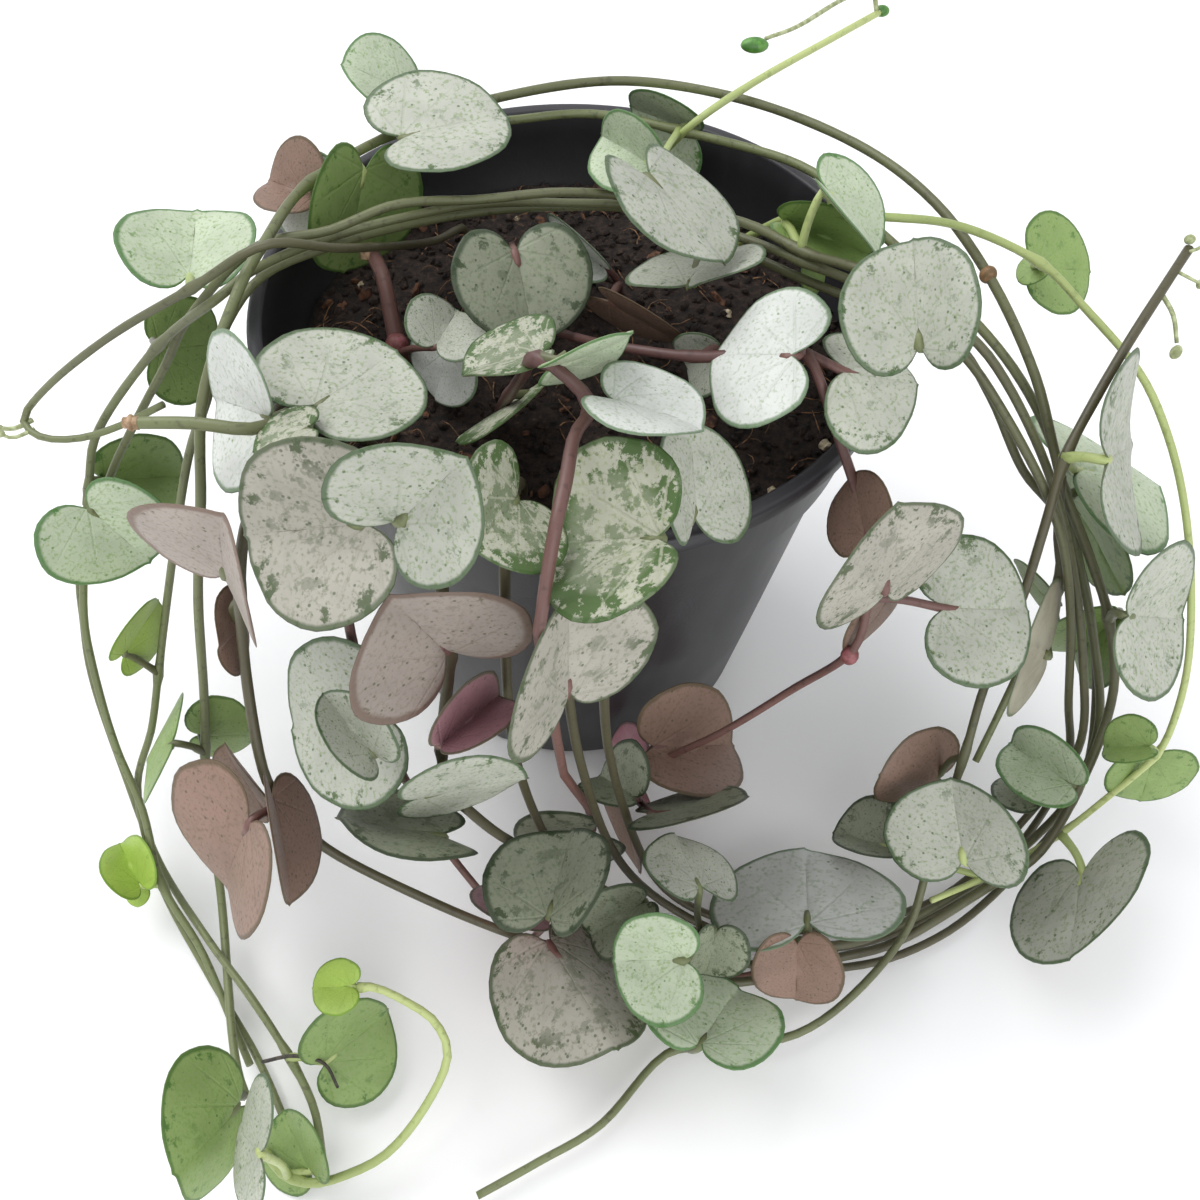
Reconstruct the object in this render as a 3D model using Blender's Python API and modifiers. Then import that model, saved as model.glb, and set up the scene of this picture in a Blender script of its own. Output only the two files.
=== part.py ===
"""A potted string of hearts: a nursery pot, its soil, the strings and their heart-shaped leaves.

Lengths are in metres, with +Z up and the origin under the middle of the pot.
Places on the plant are in millimetres, chosen for the pot's own size, and follow it when it changes.
"""

import math

import bmesh
import bpy
from mathutils import Vector
from mathutils.geometry import intersect_point_line

MM = 0.001

# Driving dimensions.
POT_HEIGHT = 0.092
RIM_RADIUS = 0.0525
BASE_RADIUS = 0.0373
POT_WALL = 0.0013
FLOOR_THICKNESS = 0.0016
COLLAR_DEPTH = 0.018
COLLAR_STEP = 0.0016
LIP_WIDTH = 0.0025
LIP_DEPTH = 0.0032
LIP_ROUND = 0.0004
LIP_FLARE = 0.0008
COLLAR_FLARE = 0.0012
COLLAR_BEND = 0.6
FOOT_RISE = 0.0012
FOOT_INSET = 0.0010
DRAIN_RADIUS = 0.004
DRAIN_CIRCLE = 0.024
DRAIN_COUNT = 6
DRAIN_SIDES = 16
SOIL_DROP = 0.011
SOIL_MOUND = 0.0012
SOIL_CROWN = 0.45
SOIL_CROWN_FALL = 0.25
SOIL_SHOULDER = 0.002
LEAF_THICKNESS = 0.0012
PETIOLE_RADIUS = 0.0005
STRING_THICKNESS_SCALE = 1.0

# The clear gap left between parts that only touch in the plant.
GAP = 0.00045

# The pot that the plant's places were chosen for.
DRAWN_HEIGHT = 0.092
DRAWN_RADIUS = 0.0525
TABLE_ZONE = 0.010
SOIL_ZONE = 0.080

TURN_STEPS = 40
STRING_STEP = 0.0095
SPAN_STEPS = 6
STRING_ROUNDNESS = 1
STALK_ROUNDNESS = 0
HUB_RADIUS = 0.0008
LAST_STEP_SHARE = 0.4
SPROUT_RISE = 0.0015
SHORT_STALK = 0.002
TANGENT_STEP = 0.05
SAME_SIDE = 0.8
WELD_DISTANCE = 0.00001

# Half of a leaf's outline, from the notch round one lobe to the tip, as shares of the leaf's width.
HEART_HALF = (
    (0.0, 0.0), (0.20, -0.16), (0.42, -0.07), (0.50, 0.15), (0.42, 0.38), (0.22, 0.54), (0.0, 0.60),
)
HEART_LENGTH = 0.60
HEART_MIDDLE = 0.26
PETIOLE_REACH = 0.10

COLOURS = {
    "pot": (0.012, 0.012, 0.014, 1.0),
    "soil": (0.045, 0.022, 0.012, 1.0),
    "olive": (0.085, 0.095, 0.035, 1.0),
    "red_brown": (0.085, 0.030, 0.026, 1.0),
    "light_green": (0.33, 0.42, 0.10, 1.0),
    "silver": (0.42, 0.46, 0.40, 1.0),
    "green": (0.15, 0.30, 0.07, 1.0),
    "mauve": (0.20, 0.12, 0.11, 1.0),
    "pink": (0.35, 0.14, 0.15, 1.0),
}
ROUGHNESS = {"pot": 0.42, "soil": 0.95}
LEAF_ROUGHNESS = 0.5

# Each string: finish, radius in mm, whether it grows out of the soil, and the points of its route in mm.
STRINGS = {
    "ring_string": ("olive", 0.9, True, (
        (-35, -18, 83), (-41, -30, 98), (-43, -45, 97), (-48, -48, 84), (-52, -52, 62), (-51, -63, 46),
        (-49, -65, 36), (-43, -69, 26), (-26, -75, 17), (-10, -80, 12), (7, -84, 9), (29, -87, 7),
        (47, -83, 7), (60, -80, 8), (76, -72, 12), (87, -66, 17), (94, -55, 29), (96, -46, 42),
        (93, -38, 53), (88, -32, 62), (81, -26, 73), (78, -22, 79), (73, -14, 89), (66, -1, 97),
        (58, 13, 101), (47, 28, 101), (29, 40, 101), (8, 45, 101), (-13, 38, 102), (-29, 25, 104),
        (-41, 7, 107), (-45, -10, 109), (-48, -19, 107), (-53, -30, 98), (-56, -37, 83),
        (-61, -41, 63), (-65, -47, 40), (-68, -57, 20), (-66, -71, 8), (-60, -96, 7), (-56, -106, 9),
    )),
    "rim_string": ("olive", 0.9, True, (
        (-19, -31, 83), (-19, -46, 99), (-17, -62, 97), (-17, -64, 84), (-20, -67, 62), (-20, -68, 48),
        (-18, -68, 42), (-12, -70, 34), (-2, -72, 25), (12, -76, 15), (23, -80, 13), (46, -82, 12),
        (61, -77, 9), (77, -69, 10), (89, -61, 13), (95, -55, 20), (97, -47, 32), (93, -38, 46),
        (87, -30, 60), (82, -24, 71), (77, -16, 80), (66, -8, 91), (48, 11, 98), (39, 25, 98),
        (22, 35, 97), (4, 41, 97), (-11, 39, 97), (-22, 33, 99), (-27, 28, 101),
    )),
    "front_string": ("red_brown", 0.8, True, (
        (-28, -28, 83), (-28, -44, 99), (-30, -56, 95), (-33, -55, 73), (-30, -61, 51), (-29, -62, 44),
        (-24, -66, 23), (-17, -72, 12), (-11, -77, 4), (3, -83, 3), (20, -86, 2), (35, -84, 2),
    )),
    "bundle_string_1": ("olive", 0.8, True, (
        (-2, -33, 83), (-2, -48, 99), (-2, -61, 96), (1, -64, 51), (10, -69, 15), (28, -77, 4),
        (48, -80, 4), (68, -74, 3), (85, -63, 7), (94, -51, 20), (90, -45, 37), (84, -38, 59),
        (76, -33, 77), (65, -24, 91), (57, -18, 98), (46, -13, 103), (34, -5, 103), (26, 4, 100),
        (11, 11, 100), (-2, 12, 100), (-15, 9, 102), (-27, 4, 103), (-38, -1, 103), (-47, -9, 104),
        (-52, -16, 104), (-65, -12, 91), (-80, -13, 73), (-84, -18, 63), (-88, -30, 46),
        (-88, -37, 37), (-85, -48, 26), (-80, -58, 19), (-76, -70, 12), (-68, -81, 7), (-60, -95, 4),
        (-57, -100, 4),
    )),
    "bundle_string_2": ("olive", 0.8, True, (
        (5, -34, 83), (4, -49, 99), (4, -61, 95), (6, -61, 46), (16, -70, 12), (33, -76, 5),
        (52, -76, 5), (72, -70, 6), (88, -57, 13), (93, -51, 30), (90, -42, 46), (83, -34, 65),
        (76, -27, 79), (65, -23, 95), (57, -19, 102), (43, -17, 110), (35, -6, 105), (26, 1, 105),
        (10, 8, 104), (-2, 8, 105), (-15, 6, 105), (-27, 2, 107), (-37, -3, 106), (-48, -6, 105),
        (-60, -9, 94), (-66, -10, 85), (-75, -12, 72), (-81, -15, 63), (-89, -23, 49), (-91, -29, 38),
        (-91, -36, 28), (-87, -48, 15), (-80, -63, 5), (-67, -79, 8), (-57, -90, 10), (-49, -100, 9),
        (-44, -108, 8), (-42, -116, 5),
    )),
    "bundle_string_3": ("olive", 0.8, True, (
        (-8, -33, 83), (-8, -48, 99), (-9, -61, 96), (-9, -64, 48), (1, -69, 9), (22, -80, 3),
        (48, -84, 5), (69, -78, 4), (87, -65, 6), (98, -53, 15), (98, -42, 31), (92, -32, 50),
        (84, -25, 64), (74, -23, 75), (66, -18, 87), (58, -15, 96), (47, -12, 99), (35, -3, 98),
        (27, 4, 97), (11, 14, 97), (-2, 15, 97), (-16, 12, 98), (-28, 7, 99), (-37, 0, 101),
        (-47, -7, 101), (-52, -17, 99), (-55, -24, 92), (-60, -25, 82), (-63, -29, 74), (-70, -33, 54),
        (-75, -40, 38), (-78, -46, 28), (-82, -54, 18), (-78, -68, 8), (-68, -83, 3), (-56, -99, 2),
        (-46, -116, 2),
    )),
    "hoop_string": ("olive", 0.7, True, (
        (-20, 26, 84), (-25, 17, 88), (-34, -7, 106), (-43, -15, 113), (-55, -16, 106), (-69, -14, 96),
        (-82, -12, 85), (-91, -11, 76), (-92, -13, 74), (-88, -16, 74), (-82, -16, 74), (-75, -15, 76),
        (-67, -14, 80),
    )),
    "young_string_right": ("light_green", 0.7, True, (
        (22, 16, 83), (35, 8, 101), (48, 0, 107), (61, 3, 103), (75, 2, 97), (83, -3, 92),
        (92, -11, 86), (97, -19, 80), (101, -27, 72), (104, -36, 62), (105, -46, 52), (104, -53, 44),
        (102, -57, 38), (97, -60, 28), (91, -63, 18), (80, -68, 12), (66, -74, 13),
    )),
    "tip_string": ("olive", 0.8, False, (
        (98, 2, 100), (92, -6, 98), (86, -14, 95), (81, -21, 90), (76, -29, 85), (74, -36, 77),
        (73, -42, 64), (71, -48, 47), (69, -56, 36), (65, -68, 21), (61, -79, 12), (50, -90, 8),
        (39, -96, 5), (26, -97, 4), (16, -99, 4), (5, -110, 4), (-6, -116, 4), (-16, -121, 4),
    )),
    "dark_string": ("olive", 0.8, False, (
        (79, -26, 77), (81, -30, 67), (83, -34, 59), (82, -38, 47), (78, -46, 35), (74, -53, 28),
    )),
    "red_string": ("red_brown", 0.8, True, (
        (-9, 3, 84), (-1, -8, 90), (7, -19, 98), (18, -24, 101), (26, -25, 103), (32, -27, 105),
        (34, -31, 104), (37, -35, 98), (41, -40, 90), (44, -44, 82), (46, -46, 70), (45, -49, 60),
        (38, -47, 44), (27, -49, 32), (15, -50, 20), (12, -53, 12),
    )),
    "centre_string": ("red_brown", 0.9, True, (
        (-12, -18, 83), (-7, -35, 108), (-5, -41, 117), (-2, -43, 117), (2, -46, 114), (0, -52, 115),
        (-1, -59, 115), (-2, -64, 114), (-3, -68, 110), (-4, -71, 103), (-4, -72, 99), (-2, -64, 50),
        (-1, -64, 44), (3, -62, 27),
    )),
    "curl_string": ("light_green", 0.8, False, (
        (-52, -114, 5), (-49, -117, 5), (-44, -119, 5), (-38, -118, 6), (-31, -115, 8),
        (-25, -109, 12), (-21, -102, 17), (-23, -97, 20), (-28, -94, 22), (-33, -92, 23),
        (-36, -92, 23),
    )),
    "back_sprig": ("light_green", 0.7, True, (
        (12, 43, 83), (16, 36, 93), (21, 32, 102), (32, 41, 104), (46, 51, 106), (56, 60, 106),
    )),
    "cut_string": ("olive", 1.0, True, (
        (-31, -26, 83), (-37, -33, 99), (-42, -42, 105), (-50, -42, 106), (-58, -42, 106),
    )),
    "cut_stub": ("red_brown", 1.4, True, (
        (-29, -6, 84), (-30, -2, 90), (-31, 1, 95), (-33, 4, 97),
    )),
}

# Each group of leaves that grows from one joint of a string. It names the string it grows on and how far
# along that string's points the joint is. Each leaf has its notch in mm, the way it points, its pitch and
# its roll in degrees, its width in mm, its length as a share of its width, and its fold in degrees.
LEAF_GROUPS = (
    ("hoop_leaf", "hoop_string", 4.0, "silver", (
        ((-60, -3, 97), 95, 5, 5, 23, 0.64, 25),
    )),
    ("leaf_left_upper", "bundle_string_1", 25.0, "green", (
        ((-70, -1, 80), 45, -30, 70, 19, 0.62, 10),
    )),
    ("cut_string_trio", "cut_string", 1.0, "silver", (
        ((-41, -39, 104), 140, -20, -60, 23, 0.60, 20),
        ((-35, -44, 107), 195, -15, 15, 12, 0.62, 5),
        ((-35, -36, 103), 50, -5, 0, 26, 0.58, 5),
    )),
    ("leaves_back_left", "ring_string", 30.0, "silver", (
        ((-40, 14, 97), 155, 0, -45, 16, 0.62, 25),
        ((-43, 13, 100), 145, -5, -25, 17, 0.56, 40),
    )),
    ("leaf_back_left_green", "ring_string", 29.6, "green", (
        ((-34, 14, 104), 240, -60, -85, 28, 0.60, 10),
    )),
    ("leaves_back_rim_left", "ring_string", 29.0, "silver", (
        ((-30, 38, 103), 185, 30, -5, 20, 0.54, 10),
        ((-27, 18, 108), 20, 0, 0, 28, 0.62, 10),
    )),
    ("leaf_soil_back", "soil", (-11, 26, 81), "silver", (
        ((-9, -3, 102), 285, -40, -15, 24, 0.58, 15),
    )),
    ("leaves_soil_middle", "soil", (8, 14, 81), "mauve", (
        ((5, 11, 88), 130, 0, -50, 22, 0.64, 75),
        ((6, -6, 95), 345, -25, 125, 22, 0.60, 5),
    )),
    ("leaves_back_rim_right", "rim_string", 24.2, "silver", (
        ((12, 11, 108), 135, 0, -55, 17, 0.66, 50),
        ((21, 41, 94), 145, 0, -100, 22, 0.60, 25),
    )),
    ("leaf_over_bundle", "bundle_string_2", 17.9, "silver", (
        ((11, -3, 116), 315, -25, -25, 27, 0.62, 5),
    )),
    ("leaf_under_bundle", "bundle_string_3", 18.4, "silver", (
        ((17, -9, 102), 60, -15, -25, 23, 0.60, 10),
    )),
    ("cut_stub_pair", "cut_stub", 0.0, "silver", (
        ((-21, -17, 96), 70, 0, 20, 14, 0.62, 25),
        ((-20, -12, 90), 230, -65, 5, 15, 0.58, 0),
    )),
    ("centre_top_pair", "centre_string", 2.0, "silver", (
        ((-5, -34, 111), 185, -15, 20, 18, 0.58, 15),
        ((-2, -43, 118), 20, 10, 120, 17, 0.60, 10),
    )),
    ("centre_rim_leaf", "centre_string", 4.0, "silver", (
        ((5, -47, 116), 340, -5, -20, 19, 0.60, 10),
    )),
    ("centre_soil_leaf", "centre_string", 0.5, "silver", (
        ((-7, -23, 92), 205, -25, 45, 22, 0.60, -5),
    )),
    ("centre_hanging_leaf", "centre_string", 10.2, "silver", (
        ((-1, -72, 88), 85, 75, 50, 28, 0.58, 15),
    )),
    ("centre_low_leaf", "centre_string", 13.0, "silver", (
        ((3, -63, 18), 180, -30, -85, 24, 0.60, 5),
    )),
    ("red_soil_leaf", "red_string", 3.0, "silver", (
        ((22, -17, 95), 145, -45, -75, 13, 0.60, 40),
    )),
    ("red_rim_pair", "red_string", 5.0, "silver", (
        ((30, -30, 107), 150, -25, -20, 23, 0.56, 0),
        ((38, -30, 104), 355, -10, 0, 24, 0.44, -15),
    )),
    ("red_shoulder_trio", "red_string", 9.2, "silver", (
        ((44, -54, 85), 95, 80, 25, 26, 0.60, 5),
        ((42, -46, 88), 100, 25, -75, 17, 0.54, 5),
        ((51, -41, 63), 225, -45, -90, 19, 0.58, 0),
    )),
    ("red_side_leaf", "red_string", 9.9, "silver", (
        ((58, -47, 70), 5, -10, 20, 25, 0.60, 10),
    )),
    ("red_low_pair", "red_string", 14.0, "silver", (
        ((15, -48, 24), 15, -25, 20, 29, 0.66, 45),
        ((12, -50, 15), 120, -25, 100, 20, 0.54, 15),
    )),
    ("red_end_trio", "red_string", 15.0, "silver", (
        ((15, -63, 27), 5, 15, -55, 27, 0.62, 0),
        ((11, -58, 24), 130, -35, -10, 19, 0.62, 45),
        ((9, -54, 14), 290, -35, 90, 24, 0.62, 5),
    )),
    ("leaves_front_rim", "bundle_string_2", 1.0, "silver", (
        ((10, -62, 108), 165, -25, -20, 27, 0.56, 30),
        ((16, -52, 99), 95, 35, 45, 21, 0.62, 10),
    )),
    ("leaf_bud_right", "bundle_string_1", 15.9, "green", (
        ((40, 9, 90), 275, -45, -45, 8, 0.62, 0),
    )),
    ("leaves_right_rim", "bundle_string_2", 16.1, "green", (
        ((37, -2, 113), 335, -35, -15, 20, 0.62, 20),
        ((34, 6, 101), 5, -25, 55, 26, 0.64, 75),
    )),
    ("leaf_right_large", "bundle_string_2", 14.1, "silver", (
        ((45, -35, 114), 95, 35, -25, 22, 0.64, 40),
    )),
    ("young_upper_pair", "young_string_right", 4.0, "silver", (
        ((86, 24, 78), 10, -15, 30, 20, 0.60, 5),
        ((85, 21, 80), 195, -35, 5, 7, 0.60, 10),
    )),
    ("young_middle_pair", "young_string_right", 12.0, "silver", (
        ((103, -56, 35), 275, -65, 5, 17, 0.58, 10),
        ((98, -58, 44), 155, -45, -15, 12, 0.66, 45),
    )),
    ("young_low_leaf", "young_string_right", 14.0, "silver", (
        ((93, -71, 18), 245, 15, 65, 32, 0.62, 5),
    )),
    ("young_end_pair", "young_string_right", 15.2, "silver", (
        ((69, -71, 26), 105, 40, -50, 27, 0.56, 15),
        ((59, -64, 14), 155, -15, 15, 18, 0.58, 35),
    )),
    ("leaves_left_green", "bundle_string_1", 27.0, "green", (
        ((-83, -22, 63), 350, -65, 55, 24, 0.64, 20),
        ((-88, -5, 50), 35, -30, 55, 22, 0.68, 40),
    )),
    ("leaves_left_curled", "ring_string", 3.4, "silver", (
        ((-49, -52, 86), 325, 75, 85, 27, 0.62, 25),
        ((-54, -45, 61), 260, 35, -80, 15, 0.60, 0),
    )),
    ("leaves_front_left_pair", "front_string", 1.2, "silver", (
        ((-25, -60, 108), 175, -15, -45, 26, 0.64, 30),
        ((-19, -69, 120), 15, 45, 55, 20, 0.58, 30),
    )),
    ("leaf_front_variegated", "bundle_string_3", 0.7, "silver", (
        ((-7, -58, 110), 240, 10, -45, 18, 0.56, 20),
    )),
    ("leaf_front_mauve_rim", "rim_string", 3.0, "silver", (
        ((-17, -66, 88), 195, 70, -80, 27, 0.58, 20),
    )),
    ("leaf_front_pink", "rim_string", 4.0, "pink", (
        ((-18, -74, 77), 55, -20, 25, 20, 0.64, 70),
    )),
    ("leaves_front_low", "front_string", 4.0, "silver", (
        ((-29, -64, 66), 175, -25, -40, 28, 0.60, 20),
        ((-28, -74, 74), 135, 25, -10, 17, 0.64, 65),
    )),
    ("leaf_front_edge_on", "rim_string", 5.0, "silver", (
        ((-22, -74, 60), 15, -5, 100, 26, 0.60, -5),
    )),
    ("leaf_front_shaded", "front_string", 6.0, "silver", (
        ((-21, -75, 47), 180, 20, 45, 27, 0.62, 5),
    )),
    ("leaves_left_low", "ring_string", 36.5, "green", (
        ((-68, -48, 29), 10, -10, 85, 19, 0.52, -10),
        ((-71, -53, 36), 170, -55, -5, 21, 0.58, 0),
    )),
    ("leaves_mauve_trio", "ring_string", 6.0, "mauve", (
        ((-52, -72, 45), 35, -120, -180, 32, 0.62, 20),
        ((-54, -63, 31), 130, 40, -80, 23, 0.58, 10),
        ((-49, -68, 44), 285, -25, -80, 26, 0.64, 15),
    )),
    ("leaves_lime_pair", "bundle_string_1", 32.0, "green", (
        ((-80, -70, 12), 125, 0, 0, 15, 0.68, 55),
        ((-81, -70, 9), 270, -15, 15, 5, 0.62, 10),
    )),
    ("leaf_fading", "bundle_string_3", 30.0, "green", (
        ((-78, -41, 47), 65, 10, 100, 18, 0.60, 10),
    )),
    ("curl_tip_leaf", "curl_string", 10.0, "silver", (
        ((-37, -92, 24), 180, -10, -10, 10, 0.66, 25),
    )),
    ("curl_start_pair", "curl_string", 1.3, "silver", (
        ((-45, -119, 36), 140, -45, -40, 19, 0.60, 5),
        ((-44, -117, 5), 120, 15, -50, 19, 0.56, 20),
    )),
    ("leaf_green_scalloped", "bundle_string_2", 35.0, "green", (
        ((-42, -101, 12), 40, -5, 60, 24, 0.54, 20),
    )),
    ("leaf_green_large", "ring_string", 40.0, "green", (
        ((-52, -111, 26), 245, 40, -60, 23, 0.66, -20),
    )),
    ("dark_end_leaf", "dark_string", 3.0, "silver", (
        ((81, -44, 51), 210, 50, 120, 25, 0.62, 5),
    )),
    ("dark_middle_leaf", "dark_string", 2.0, "silver", (
        ((87, -30, 47), 120, 0, -115, 17, 0.60, 0),
    )),
    ("leaves_right_pair", "tip_string", 4.0, "silver", (
        ((80, -32, 88), 45, -30, 55, 32, 0.60, 10),
        ((85, -21, 73), 10, -25, -5, 33, 0.60, -10),
    )),
    ("leaf_right_bright", "rim_string", 18.9, "green", (
        ((92, -14, 56), 295, -20, 110, 31, 0.62, 5),
    )),
    ("leaves_right_edge", "ring_string", 18.0, "silver", (
        ((89, -45, 65), 20, -30, 50, 28, 0.60, 20),
        ((102, -29, 39), 145, -80, -80, 25, 0.70, 55),
    )),
    ("leaves_right_low", "rim_string", 15.0, "green", (
        ((91, -57, 27), 125, -20, -40, 21, 0.66, 55),
        ((88, -57, 19), 110, -30, -35, 15, 0.64, 45),
    )),
    ("leaf_right_brown", "tip_string", 8.0, "mauve", (
        ((67, -55, 26), 190, 20, -70, 20, 0.64, -20),
    )),
    ("leaves_table_right", "rim_string", 10.8, "silver", (
        ((41, -81, 21), 80, -30, -15, 35, 0.60, -5),
        ((39, -84, 20), 95, -125, -165, 18, 0.70, 30),
    )),
    ("leaves_table_middle", "rim_string", 10.0, "silver", (
        ((21, -78, 32), 110, -10, 35, 20, 0.54, -5),
        ((18, -90, 31), 175, -15, -35, 22, 0.54, 35),
        ((24, -84, 26), 255, -45, -20, 13, 0.64, 35),
    )),
    ("leaf_table_grey", "ring_string", 9.4, "silver", (
        ((-4, -84, 20), 300, 15, -10, 31, 0.74, -35),
    )),
    ("leaf_table_mint", "tip_string", 13.6, "silver", (
        ((21, -101, 22), 55, -30, -15, 25, 0.64, 15),
    )),
    ("leaf_table_dark", "rim_string", 8.0, "green", (
        ((-4, -84, 36), 75, -5, -25, 26, 0.60, 30),
    )),
    ("leaf_table_olive", "rim_string", 9.0, "green", (
        ((12, -78, 24), 200, -40, -20, 19, 0.66, 55),
    )),
    ("leaf_table_pink", "front_string", 8.2, "pink", (
        ((-5, -80, 20), 320, -155, -145, 22, 0.72, 20),
    )),
)

# Strings that are modelled in one piece with their leaves.
LEAFY_STRINGS = (
    "centre_string", "curl_string", "cut_string", "cut_stub",
    "dark_string", "hoop_string", "red_string", "young_string_right",
)
SOIL_SURFACE = "soil"


def clear_scene():
    """Removes what the scene holds."""
    for obj in list(bpy.data.objects):
        bpy.data.objects.remove(obj, do_unlink=True)


def collection(name):
    """A new collection in the scene."""
    made = bpy.data.collections.new(name)
    bpy.context.scene.collection.children.link(made)
    return made


def material(name, finish):
    """A Principled material in one of the plant's colours."""
    made = bpy.data.materials.new(name)
    made.use_nodes = True
    shader = made.node_tree.nodes["Principled BSDF"]
    shader.inputs["Base Color"].default_value = COLOURS[finish]
    shader.inputs["Roughness"].default_value = ROUGHNESS.get(finish, LEAF_ROUGHNESS)
    shader.inputs["Metallic"].default_value = 0.0
    made.diffuse_color = COLOURS[finish]
    return made


def new_object(name, mesh, owner):
    """An object of the mesh, in the collection."""
    made = bpy.data.objects.new(name, mesh)
    owner.objects.link(made)
    return made


def share(value, start, end):
    """How far the value is from start to end, held between 0 and 1."""
    return min(1.0, max(0.0, (value - start) / (end - start)))


def place(point):
    """A drawn place in mm as a point in metres, carried along by the pot's height and radius."""
    x, y, z = (part * MM for part in point)
    radius = math.hypot(x, y)
    if radius > 0.0:
        grown = radius + (RIM_RADIUS - DRAWN_RADIUS) * share(radius, 0.0, DRAWN_RADIUS)
        x, y = x * grown / radius, y * grown / radius
    z += (POT_HEIGHT - DRAWN_HEIGHT) * share(z, TABLE_ZONE, SOIL_ZONE)
    return Vector((x, y, z))


def soil_level():
    """The height of the soil at the middle of the pot."""
    return POT_HEIGHT - SOIL_DROP


def wall_radius(height):
    """The outer radius of the pot's tapered wall at a height below the collar."""
    collar = POT_HEIGHT - COLLAR_DEPTH
    top = RIM_RADIUS - LIP_WIDTH - COLLAR_STEP - COLLAR_FLARE
    return BASE_RADIUS + (top - BASE_RADIUS) * height / collar


def turned(name, profile, owner, steps=TURN_STEPS):
    """A solid turned about Z from a profile that runs down its outer side."""
    mesh = bpy.data.meshes.new(name)
    points = [(radius, 0.0, height) for radius, height in profile]
    mesh.from_pydata(points, [(i, i + 1) for i in range(len(points) - 1)], [])
    made = new_object(name, mesh, owner)
    screw = made.modifiers.new("Turn", "SCREW")
    screw.axis = "Z"
    screw.steps = steps
    screw.render_steps = steps
    screw.use_merge_vertices = True
    screw.merge_threshold = WELD_DISTANCE
    screw.use_smooth_shade = True
    return made


def pot(owner, helpers):
    """The thin tapered pot, with a stepped collar, a rolled lip and drain holes."""
    collar = POT_HEIGHT - COLLAR_DEPTH
    under = wall_radius(collar)
    outer = under + COLLAR_STEP
    lip_foot = POT_HEIGHT - LIP_DEPTH
    inner_top = RIM_RADIUS - LIP_WIDTH
    profile = (
        (0.0, FLOOR_THICKNESS),
        (BASE_RADIUS - POT_WALL, FLOOR_THICKNESS),
        (under - POT_WALL, collar),
        (outer - POT_WALL, collar + COLLAR_STEP),
        (inner_top, lip_foot),
        (inner_top, POT_HEIGHT - LIP_ROUND),
        (inner_top + LIP_ROUND, POT_HEIGHT),
        (RIM_RADIUS - LIP_ROUND, POT_HEIGHT),
        (RIM_RADIUS, POT_HEIGHT - LIP_ROUND),
        (RIM_RADIUS, lip_foot),
        (inner_top + POT_WALL, lip_foot - LIP_FLARE),
        (outer, collar + COLLAR_STEP * COLLAR_BEND),
        (under, collar),
        (BASE_RADIUS, FOOT_RISE),
        (BASE_RADIUS - FOOT_INSET, 0.0),
        (0.0, 0.0),
    )
    made = turned("pot", profile, owner)
    for index in range(DRAIN_COUNT):
        angle = 2 * math.pi * index / DRAIN_COUNT
        bpy.ops.mesh.primitive_cylinder_add(
            vertices=DRAIN_SIDES,
            radius=DRAIN_RADIUS,
            depth=FLOOR_THICKNESS * 4,
            location=(DRAIN_CIRCLE * math.cos(angle), DRAIN_CIRCLE * math.sin(angle), 0.0),
        )
        cutter = bpy.context.object
        cutter.name = f"drain_cutter_{index + 1}"
        for holder in list(cutter.users_collection):
            holder.objects.unlink(cutter)
        helpers.objects.link(cutter)
        cutter.hide_render = True
        cutter.display_type = "WIRE"
        cut = made.modifiers.new(f"Drain {index + 1}", "BOOLEAN")
        cut.operation = "DIFFERENCE"
        cut.solver = "EXACT"
        cut.object = cutter
    made.data.materials.append(material("black_plastic", "pot"))
    return made


def soil(owner):
    """The peat that fills the pot to below its rim, clear of the wall."""
    collar = POT_HEIGHT - COLLAR_DEPTH
    top = soil_level()
    inner_base = BASE_RADIUS - POT_WALL - GAP
    inner_collar = wall_radius(collar) - POT_WALL - GAP
    low = FLOOR_THICKNESS + GAP
    edge = top - SOIL_MOUND
    edge_radius = inner_collar + COLLAR_STEP / 2
    profile = (
        (0.0, top),
        (RIM_RADIUS * SOIL_CROWN, top - SOIL_MOUND * SOIL_CROWN_FALL),
        (edge_radius, edge),
        (inner_collar, min(collar, edge - SOIL_SHOULDER)),
        (inner_base, low),
        (0.0, low),
    )
    made = turned("soil", profile, owner)
    made.data.materials.append(material("peat_soil", "soil"))
    return made


def spline_point(before, start, end, after, amount):
    """A point between start and end on the smooth curve through four points."""
    return 0.5 * (
        2 * start
        + (end - before) * amount
        + (2 * before - 5 * start + 4 * end - after) * amount**2
        + (3 * start - before - 3 * end + after) * amount**3
    )


def route_point(points, along):
    """The point of a smooth route at a place counted in its points, such as 2.5."""
    index = min(int(along), len(points) - 2)
    start, end = points[index], points[index + 1]
    before = points[index - 1] if index > 0 else 2 * start - end
    after = points[index + 2] if index + 2 < len(points) else 2 * end - start
    return spline_point(before, start, end, after, along - index)


def smooth_route(points):
    """The route as a smooth line with a point about every STRING_STEP."""
    line = [points[0]]
    for step in range(1, (len(points) - 1) * SPAN_STEPS):
        candidate = route_point(points, step / SPAN_STEPS)
        if (candidate - line[-1]).length > STRING_STEP:
            line.append(candidate)
    if (points[-1] - line[-1]).length < STRING_STEP * LAST_STEP_SHARE:
        line.pop()
    return line + [points[-1]]


def string_points(name):
    """A string's route in metres. One that grows out of the soil starts just above it."""
    _, _, rooted, points = STRINGS[name]
    route = [place(point) for point in points]
    if rooted:
        foot = route[0].copy()
        foot.z = soil_level() + GAP + string_radius(name)
        route[0].z = max(route[0].z, foot.z + SPROUT_RISE)
        route.insert(0, foot)
    return route


def string_radius(name):
    """A string's radius in metres."""
    return STRINGS[name][1] * MM * STRING_THICKNESS_SCALE


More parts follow.
